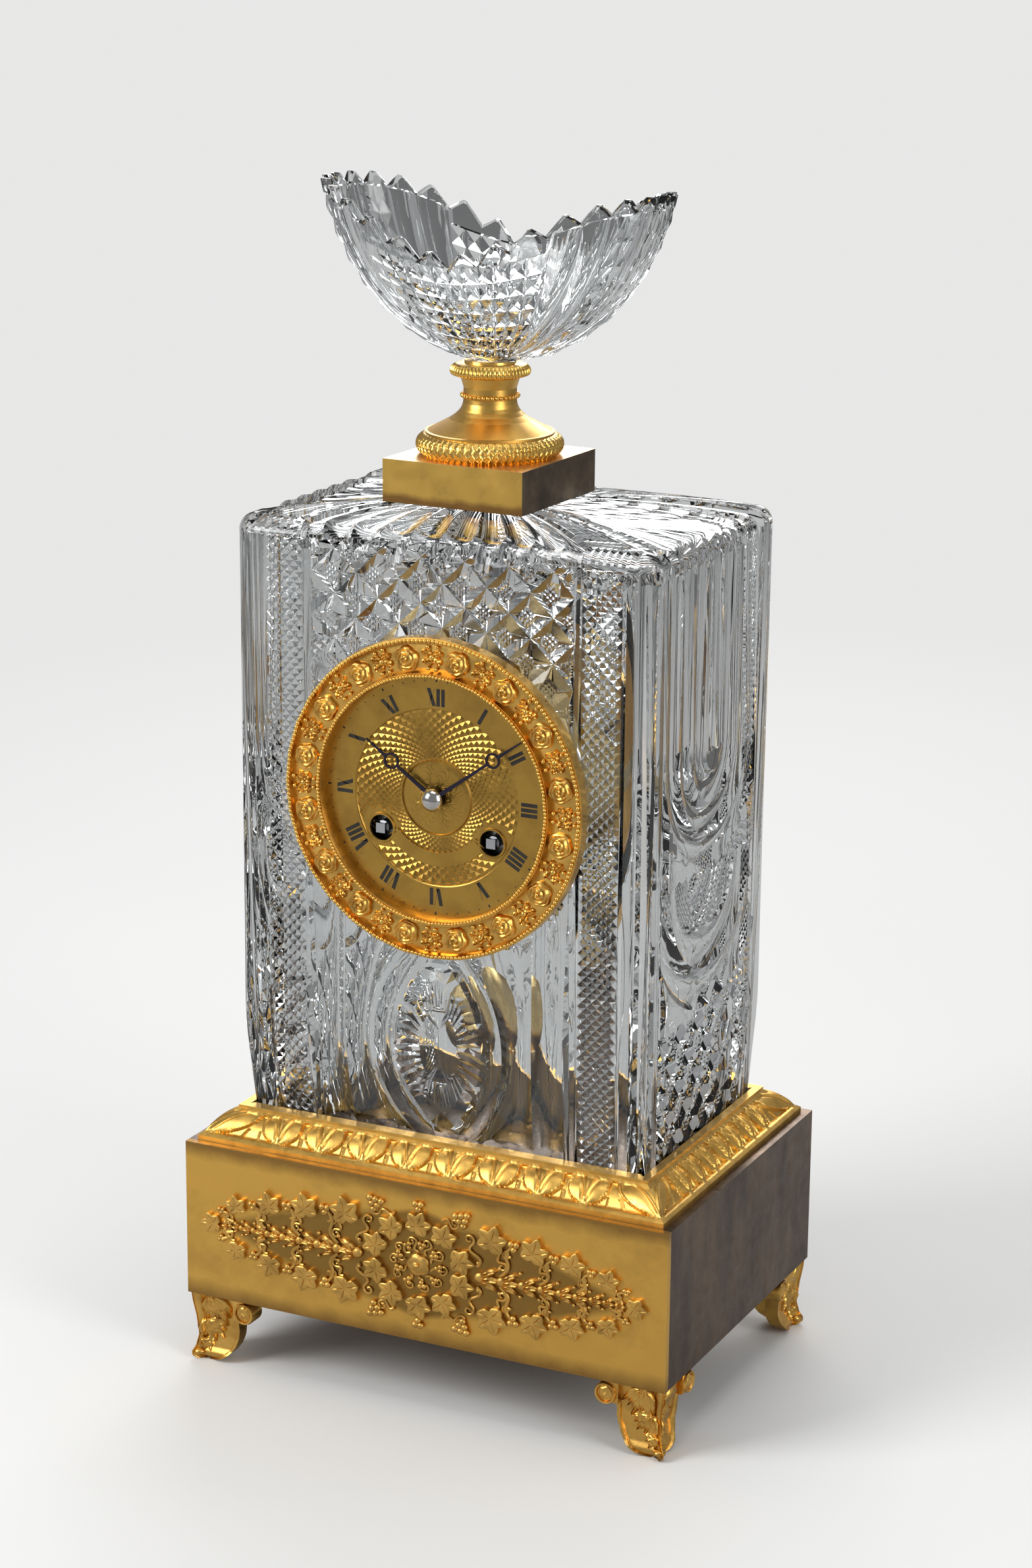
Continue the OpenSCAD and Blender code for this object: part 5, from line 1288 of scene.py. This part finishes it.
def tip(x, w):
    """Relief of one hanging leaf: x from -1 to 1 across it, w from 0 at the top to 1 at the tip."""
    ax = abs(x)
    edge = 0.93 * math.sqrt(max(0.0, 1 - max(0.0, (w - 0.4) / 0.58) ** 2.3)) if w > 0.4 else 0.85 + 0.2 * w
    inside = edge - ax
    if inside <= 0:
        return 0.35 * max(0.0, 1 - (1 - ax) / 0.1) if w > 0.66 else 0.0
    rim = min(1.0, inside / 0.035) * (1 - min(1.0, max(0.0, (inside - 0.09) / 0.04)))
    field = 0.4 + 0.3 * math.sin(math.pi * min(1.0, max(0.0, inside - 0.12) / max(0.2, edge - 0.12)) * 0.75)
    bud = ax - 0.3 * (1 - w) ** 1.3
    groove = 0.2 * math.exp(-((bud - 0.11) / 0.05) ** 2) if bud > 0 else 0.0
    vein = 0.34 * math.exp(-(bud / 0.045) ** 2) - groove
    return max(0.78 * rim, min(1.0, inside / 0.06) * (field + vein * min(1.0, 5 * (1 - w))))


def moulding_rows():
    """From the ledge down: distance out from the top edge, height over the seat, share of a leaf's length."""
    rows = [(-4.0, MOULD, 0), (0.0, MOULD, 0), (0.0, MOULD - 1.4, 0)]
    for k in range(33):
        s = 1 - k / 32
        high = 3.4 + (MOULD - 5.6) * (s + 0.18 * math.sin(math.pi * s))
        rows.append(((SLOPE - 2) * (1 - s) + 1.2 * s, high, k / 32))
    return rows + [(SLOPE - 1.2, 3.0, 0), (SLOPE, 2.2, 0), (SLOPE, 0.0, 0)]


def build_moulding():
    """The moulding round the foot of the glass: four mitred lengths with hanging leaves."""
    parts = []
    for half, out, count, pitch, steps, lip, quarters in ((FRAME_X, FRAME_Y, 8, 20.0, 620, 54.9, (0, 2)),
                                                          (FRAME_Y, FRAME_X, 7, 13.4, 430, 89.6, (1, 3))):
        ledge = out - SLOPE - lip - 0.4
        grid = []
        for d, z, w in moulding_rows():
            d = d if d > -1 else -ledge
            end = half - SLOPE + d
            line = []
            for i in range(steps + 1):
                u = -end + 2 * end * i / steps
                h = 0.0
                if 0 < w < 1:
                    mitre = (end - abs(u)) / MITRE
                    if abs(u) < count * pitch / 2:
                        f = u / pitch + (0.5 if count % 2 else 0.0)
                        h = tip(2 * (f - math.floor(f)) - 1, w)
                    elif mitre < 1.0:
                        h = tip(mitre, w)
                    h = (1.5 * h - 1.2) * min(1.0, 14 * w, 14 * (1 - w))
                line.append((u, -(out - SLOPE + d + 0.9 * h), SEAT + z + 0.9 * h))
            grid.append(line)
        grid.append([(x, y, SEAT) for x, y, z in grid[0]])
        n, last = steps + 1, len(grid) - 1
        verts = np.array(grid).reshape(-1, 3)
        faces = strip(len(grid), n) + [(c, c + 1, last * n + c + 1, last * n + c) for c in range(steps)]
        faces += [tuple(r * n for r in range(len(grid))), tuple(r * n + n - 1 for r in range(len(grid)))]
        for quarter in quarters:
            parts.append((on_case(turned(verts, quarter)), faces, LEDGE))
    return piece("leaf_moulding", parts, nodes=("moulding_frame",), angle=34.0)


# The vine mount

# One quarter, from the middle outwards: husks of the arm (x, size, rise), leaves and bunches (x, y, size)
HUSKS = ((23.0, 9.4, 3.0), (31.0, 8.6, 2.9), (38.6, 8.0, 2.8), (45.6, 7.4, 2.7), (52.2, 6.7, 2.5),
         (58.2, 6.1, 2.4), (63.8, 5.4, 2.2), (68.6, 4.8, 2.0), (73.0, 4.2, 1.9))
VINE_LEAVES = ((27.5, 14.6, 6.9), (43.0, 13.4, 6.4), (57.0, 11.4, 5.8), (70.0, 8.4, 4.9))
BUNCHES = ((35.6, 15.2, 1.25), (50.3, 13.2, 1.15), (63.8, 10.6, 1.0), (76.4, 6.0, 0.85))
VINE_SCALE = (1.215, 1.12)


def on_front(p):
    """From the mount's own drawing to the front of the plinth."""
    x, y, z = np.asarray(p, float).T
    return np.stack([VINE_SCALE[0] * x, CASE_Y - PLINTH_Y - z, 1000 * MOUNT_Z + VINE_SCALE[1] * y], -1)


def husk(length, width, rise):
    """A bell flower of three pointed leaves, opening along x."""
    parts = [leaf(length, width * 0.34, rise, 1, 0.05, -0.02, (12, 6))]
    for s in (-1, 1):
        side = leaf(length * 0.86, width * 0.34, rise * 0.8, 1, 0.05, -0.02, (12, 6), bend=0.22 * s)
        parts.append(put(side, 0, s * width * 0.16, s * 0.12))
    parts.append(ball((0.1, 0, rise * 0.25), width * 0.27, 2, 0.8))
    return parts


def bunch(x, y, size, turn, rows=(1, 2, 3)):
    """Rows of small balls, the first one nearest to the stem."""
    out = []
    c, s = math.cos(turn), math.sin(turn)
    for i, n in enumerate(rows):
        for j in range(n):
            px, py = (i - 1) * size * 1.5, (j - (n - 1) / 2) * size * 1.7
            out.append(ball((x + c * px - s * py, y + s * px + c * py, size * 0.9), size))
    return out


def sprig(at, a, b, sway, size, hand, thick):
    """A tendril, with its ends placed by a function."""
    return tube(tendril(at(*a), at(*b), sway, size, hand), thick)


def build_vine():
    """A rose in a wreath, an arm of husks to each side, and leaves, bunches and tendrils round them."""
    parts = [rose(4.3, 2.6, -0.02, 5, 1.0), ball((0, 0, 2.5), 0.95)]
    oval_at = lambda x, y, turn: (x * math.cos(turn), y * math.sin(turn))
    for k in range(10):
        a = TAU * (k + 0.5) / 10
        parts.append(put(vine_leaf(6.0, 2.3), *oval_at(16.4, 15.4, a), a + (0.35 if k % 2 else -0.35)))
        parts.append(sprig(oval_at, (5.0, 5.0, a), (10.6, 10.2, a + 0.2), 0.18, 1.5, 1, 0.5))
    for k in range(9):
        a = TAU * k / 9
        parts += bunch(*polar(8.3, a), 0.95, a, (1, 2))
    for sx, sy in ((-1, -1), (-1, 1), (1, -1), (1, 1)):
        at = lambda x, y: (sx * x, sy * y)
        hand = sx * sy
        parts += bunch(*at(16.5, 20.4), 1.3, math.atan2(-sy, sx * 0.2), (3, 2, 1))
        parts.append(sprig(at, (9.0, 19.0), (14.6, 17.4), 0.2, 1.7, hand, 0.6))
        parts.append(sprig(at, (22.0, 4.0), (20.5, 12.5), -0.2 * hand, 2.0, hand, 0.65))
        parts += [ball((*at(x - 0.6, size * 0.56), 0.7), 0.5 + size * 0.03) for x, size, rise in HUSKS]
        for x, y, size in VINE_LEAVES:
            parts.append(put(vine_leaf(size, 2.3), *at(x, y), sy * math.pi / 2 - hand * 0.25))
            ends = (x + 1.0, y - size * 0.6), (x + 3.6, y - size * 0.55 - 3.4)
            parts.append(sprig(at, *ends, 0.25 * hand, size * 0.26, -hand, 0.62))
        for x, y, size in BUNCHES:
            parts += bunch(*at(x, y), size, sy * math.pi / 2, (1, 2))
            stem = [at(x - 5.0 + (5.0 * s + 1.5 * math.sin(TAU * s)), 2.0 + (y - 2.4) * s)
                    for s in np.linspace(0, 1, 14)]
            parts.append(tube(stem, 0.75, thin=0.8))
            parts.append(sprig(at, (x - 1.0, y - 5.0), (x - 3.4, y - 3.4), 0.3 * hand, size * 1.3, hand, 0.55))
    for sx in (-1, 1):
        turn = 0 if sx > 0 else math.pi
        parts += bunch(0.0, sx * 23.6, 1.25, sx * math.pi / 2, (1, 2))
        for x, size, rise in HUSKS:
            parts += [put(shell, sx * x, 0, turn) for shell in husk(size, size * 0.86, rise)]
        parts.append(put(vine_leaf(5.0, 1.9), sx * 79.4, 0, turn))
    return piece("vine_relief", [(on_front(v), f, MATTE) for v, f in parts], nodes=("vine_mount",), angle=40.0)


# The feet

# By height: how far a wing reaches along the plinth, and how far the ridge at the corner stands back
WING = ((0.0, 9.0), (0.6, 11.5), (1.5, 13.8), (3.0, 16.4), (5.0, 18.6), (8.0, 20.6), (12.0, 22.0),
        (15.5, 22.6), (19.0, 22.4), (31.0, 24.4))
RIDGE = ((0.0, 2.4), (1.6, 0.4), (3.4, 0.3), (6.0, 1.6), (11.0, 2.6), (20.0, 1.8), (27.0, 0.7), (31.0, 0.4))
# The scroll's end: its middle, and its section by radius and depth
SCROLL = (26.4, 25.4)
SCROLL_SECTION = ((0.05, 1.3), (2.6, 1.3), (3.4, 1.2), (3.7, 0.4),
                  (4.4, 0.2), (4.9, 1.6), (4.9, 8.0), (4.4, 8.4))


def along(table, x):
    """Value of a table between its entries."""
    return float(np.interp(x, [q[0] for q in table], [q[1] for q in table]))


def foot_face(x, h):
    """Set back of a foot's face from the side of the plinth at a distance x from the corner and a height h."""
    inset, reach = along(RIDGE, h), along(WING, h)
    ridge = max(0.0, 1 - ((x - inset) / (1.7 + 0.11 * h)) ** 2) ** 0.5
    rim = min(1.0, max(0.0, (x - reach + 1.9) / 0.5)) * min(1.0, max(0.0, (31.5 - h) / 4))
    return inset + 3.1 - 2.2 * ridge - 1.2 * rim


def acanthus():
    """Leaves of one wing: fans of long lobes, with x from the corner, y up and z outwards."""
    leaves = []
    for x, y, spread, length, width, rise in ((5.6, 9.5, (-92, -62, -32, -6), 6.2, 3.6, 1.7),
                                              (6.8, 18.5, (-101, -84, -66, -47, -28, -10), 11.4, 4.8, 2.1),
                                              (9.0, 31.0, (-101, -88, -75, -62, -49, -36), 16.2, 5.4, 2.6)):
        for k, turn in enumerate(spread):
            long = length * (0.86, 1.0)[k % 2] * (0.9 if k == len(spread) - 1 else 1.0)
            lobe = leaf(long, width, rise - 0.35 * (k % 2), 1, 0.06, -0.5, (20, 10))
            leaves.append(put(lobe, x, y, math.radians(turn)))
    return leaves


def build_foot(name, sx, sy):
    """A foot: two wings that meet in a ridge at the corner, each with acanthus and a scroll."""
    steps = 56
    levels = [FOOT_HIGH * (k / steps) ** 1.15 for k in range(steps + 1)]
    shares = [k / steps for k in range(steps + 1)]
    grid = []
    for h in levels:
        reach, inset = along(WING, h), along(RIDGE, h)
        outer, inner = [], []
        thick = min(8.0, 0.45 * reach)
        for side in (0, 1):
            for q in (reversed(shares) if side == 0 else shares[1:]):
                x = inset + (reach - inset) * q
                e = foot_face(x, h)
                px, py = (x, e) if side == 0 else (e, x)
                if q == 0:
                    px = py = inset + 1.05
                outer.append((px, py, h))
                t = max(x, inset + thick)
                inner.append((t, inset + thick, h) if side == 0 else (inset + thick, t, h))
        grid.append(outer + inner[::-1])
    verts, faces = loops(grid, False)
    n, m = len(grid[0]), len(grid[0]) // 2
    for base in (0, (len(grid) - 1) * n):
        faces += [(base + i, base + i + 1, base + n - 2 - i, base + n - 1 - i) for i in range(m - 1)]
    shells = [(verts, faces)]
    for side in (0, 1):
        wing = [loops([[(x, depth, z) for x, z in circle(r, 36, *SCROLL)] for r, depth in SCROLL_SECTION])]
        for v, f in acanthus():
            face = np.array([foot_face(x, min(FOOT_HIGH - 0.1, max(0.3, h))) for x, h in v[:, :2]])
            depth, high = np.maximum(0.25, face - v[:, 2]), np.clip(v[:, 1], 0.25, FOOT_HIGH - 0.1)
            wing.append((np.column_stack([v[:, 0], depth, high]), f))
        v, f = rose(3.1, 1.2, -0.2, 5, 1.0, 30)
        wing.append((np.column_stack([SCROLL[0] + v[:, 0], 1.3 - v[:, 2], SCROLL[1] + v[:, 1]]), f))
        corners = ((1.4, 21.5), (8.0, 21.5), (8.0, FOOT_HIGH), (1.4, FOOT_HIGH))
        wing.append(loops([[(x, y, z) for y, z in corners] for x in (21.0, SCROLL[0])]))
        shells += [(v[:, (1, 0, 2)], f) for v, f in wing] if side else wing
    shells.append(ball((3.3, 3.3, 3.3), 2.6, 3, 0.6))
    flip = lambda v: np.column_stack([sx * (PLINTH_X - v[:, 0]), sy * (PLINTH_Y - v[:, 1]) + CASE_Y, v[:, 2]])
    return piece("cast_" + name, [(flip(v), f, CAST) for v, f in shells], nodes=(name,), angle=36.0)


# The stand under the bowl


def build_laurel():
    """The ring of laurel leaves on the square block."""
    z0, r0, hub, top = 386.8, 29.9, 21.9, 8.6
    section = [(hub, 0.0, 0), (r0 - 2.4, 0.0, 0)]
    section += [(r0 - 4 + 4 * math.cos(a), top / 2 + (top / 2 - 0.2) * math.sin(a), 1)
                for a in (math.radians(d) for d in np.linspace(-70, 62, 23))]
    section += [(r0 - 3.4, top, 0), (hub, top, 0)]
    line = lambda x: math.exp(-((x - math.floor(x) - 0.5) / 0.11) ** 2)
    count, rows = 900, []
    for k, (r, z, relief) in enumerate(section):
        row = []
        for i in range(count):
            a = TAU * i / count
            p, q = a / TAU * 60, (k - 2) / 22 * 3.0
            h = 0.6 * (max(line(p + 0.75 * q), 0.8 * line(p - 0.75 * q + 0.3)) - 1.0) if relief else 0.0
            row.append((*polar(r + h, a), z0 + z))
        rows.append(row)
    verts, faces = loops(rows + rows[:1], False)
    n = len(section) * count
    faces = [tuple(i % n for i in q) for q in faces]
    return piece("laurel_band", [(on_stand(verts[:n]), faces, BRIGHT)], nodes=("laurel_ring",), angle=50.0)


def build_collar():
    """The fluted collar under the bowl."""
    z0, r0, high, flutes = 418.3, 16.3, 6.4, 60
    section = [(0.1, 0.0, 0), (r0 - 2.6, 0.0, 0), (r0 - 1.6, 0.3, 0.6)]
    for a in np.radians(np.linspace(-25, 90, 15)):
        relief = max(0.0, 1 - max(0.0, a - 0.7) / 0.35)
        section.append((r0 - 5.2 + 5.2 * math.cos(a), 2.1 + (high - 3.1) * math.sin(a), relief))
    section += [(r0 - 5.8, high - 1.0, 0), (r0 - 6.0, high, 0), (0.1, high, 0)]
    count, rows = 480, []
    for r, z, relief in section:
        row = []
        for i in range(count):
            a = TAU * i / count
            row.append((*polar(r - 0.55 * relief * abs(math.sin(flutes / 2 * a)) ** 0.8, a), z0 + z))
        rows.append(row)
    verts, faces = loops(rows)
    return piece("fluted_band", [(on_stand(verts), faces, BRIGHT)], nodes=("fluted_collar",), angle=50.0)


build_dial()
build_bezel()
build_moulding()
build_vine()
for near_or_far, sy in (("front", -1), ("back", 1)):
    for hand, sx in (("left", -1), ("right", 1)):
        build_foot(f"foot_{near_or_far}_{hand}", sx, sy)
build_laurel()
build_collar()


# Everything that keeps its engineering shape

slots = {s["node"]: s["material_slot"] for s in frame["record"]["subparts"]}
special = {"plinth_front": FRONT, "pedestal_block": BLOCK, "plinth_top": DARK}
for name, node in frame["nodes"].items():
    node.data.materials.clear()
    node.data.materials.append(special.get(name, SLOTS[slots[name]]))


# Stage


PALE = (0.80, 0.80, 0.795)


def stage_plane(name, corners, colour, rough):
    """A plane that fades into the backdrop with the distance."""
    mesh = bpy.data.meshes.new(name)
    mesh.from_pydata(corners, [], [tuple(range(len(corners)))])
    s = Shader(name + "_paint")
    path = s.node("ShaderNodeLightPath").outputs["Is Camera Ray"]
    flat = s.node("ShaderNodeVectorMath", operation="LENGTH")
    s.join(s.place, flat.inputs[0])
    fade = s.math("MULTIPLY", s.remap(flat.outputs["Value"], 0.45, 1.5), path)
    grain = s.mix(s.noise(3.0), colour, tuple(c * 0.97 for c in colour))
    grain = s.mix(path, tuple(0.6 * c for c in colour), grain)
    colour_left = s.mix(fade, grain, (0.0, 0.0, 0.0))
    mesh.materials.append(s.set(Base_Color=colour_left, Roughness=rough, Specular_IOR_Level=0.0,
                                Emission_Color=(*PALE, 1.0), Emission_Strength=fade))
    made = bpy.data.objects.new(name, mesh)
    bpy.context.scene.collection.objects.link(made)
    return made


floor = stage_plane("floor", [(-6, -6, 0), (6, -6, 0), (6, 6, 0), (-6, 6, 0)], (0.78, 0.78, 0.77), 0.7)

world = bpy.data.worlds.new("studio")
world.use_nodes = True
tree = world.node_tree
tree.nodes.clear()
w_out = tree.nodes.new("ShaderNodeOutputWorld")
w_back = tree.nodes.new("ShaderNodeBackground")
w_path = tree.nodes.new("ShaderNodeLightPath")
w_mix = tree.nodes.new("ShaderNodeMix")
w_mix.data_type = "RGBA"
w_mix.inputs[6].default_value = (0.30, 0.305, 0.31, 1)
w_mix.inputs[7].default_value = (*PALE, 1)
tree.links.new(w_path.outputs["Is Camera Ray"], w_mix.inputs[0])
tree.links.new(w_mix.outputs[2], w_back.inputs[0])
tree.links.new(w_back.outputs[0], w_out.inputs[0])
bpy.context.scene.world = world


def area(name, place, target, size, power):
    """A rectangular lamp that shines on a target."""
    data = bpy.data.lights.new(name, "AREA")
    data.shape = "RECTANGLE"
    data.size, data.size_y = size
    data.energy = power
    made = bpy.data.objects.new(name, data)
    made.location = place
    made.rotation_euler = (Vector(target) - Vector(place)).to_track_quat("-Z", "Y").to_euler()
    bpy.context.scene.collection.objects.link(made)


area("key_light", (-1.1, -1.3, 1.25), (0, 0, 0.25), (0.9, 1.1), 26)
area("side_light", (1.5, -0.5, 0.8), (0, 0, 0.25), (0.6, 1.2), 10)
area("back_light", (-0.5, 1.5, 1.1), (0, 0, 0.3), (1.2, 0.8), 14)
area("top_light", (0.1, 0.0, 1.9), (0, 0, 0.2), (1.2, 1.0), 10)

# Camera at the photograph's angle
turn, lift, roll = math.radians(25.88), math.radians(15.48), math.radians(0.516)
back = Vector((math.sin(turn) * math.cos(lift), -math.cos(turn) * math.cos(lift), math.sin(lift)))
right = Vector((math.cos(turn), math.sin(turn), 0))
up = back.cross(right)
right, up = right * math.cos(roll) + up * math.sin(roll), up * math.cos(roll) - right * math.sin(roll)
camera = bpy.data.objects.new("camera", bpy.data.cameras.new("camera"))
camera.data.lens = 80.87
camera.data.sensor_width = 36.0
pose = Matrix((right, up, back)).transposed().to_4x4()
pose.translation = Vector((0.6142, -1.25485, 0.6363))
camera.matrix_world = pose
bpy.context.scene.collection.objects.link(camera)
bpy.context.scene.camera = camera
bpy.context.scene.view_settings.view_transform = "Standard"
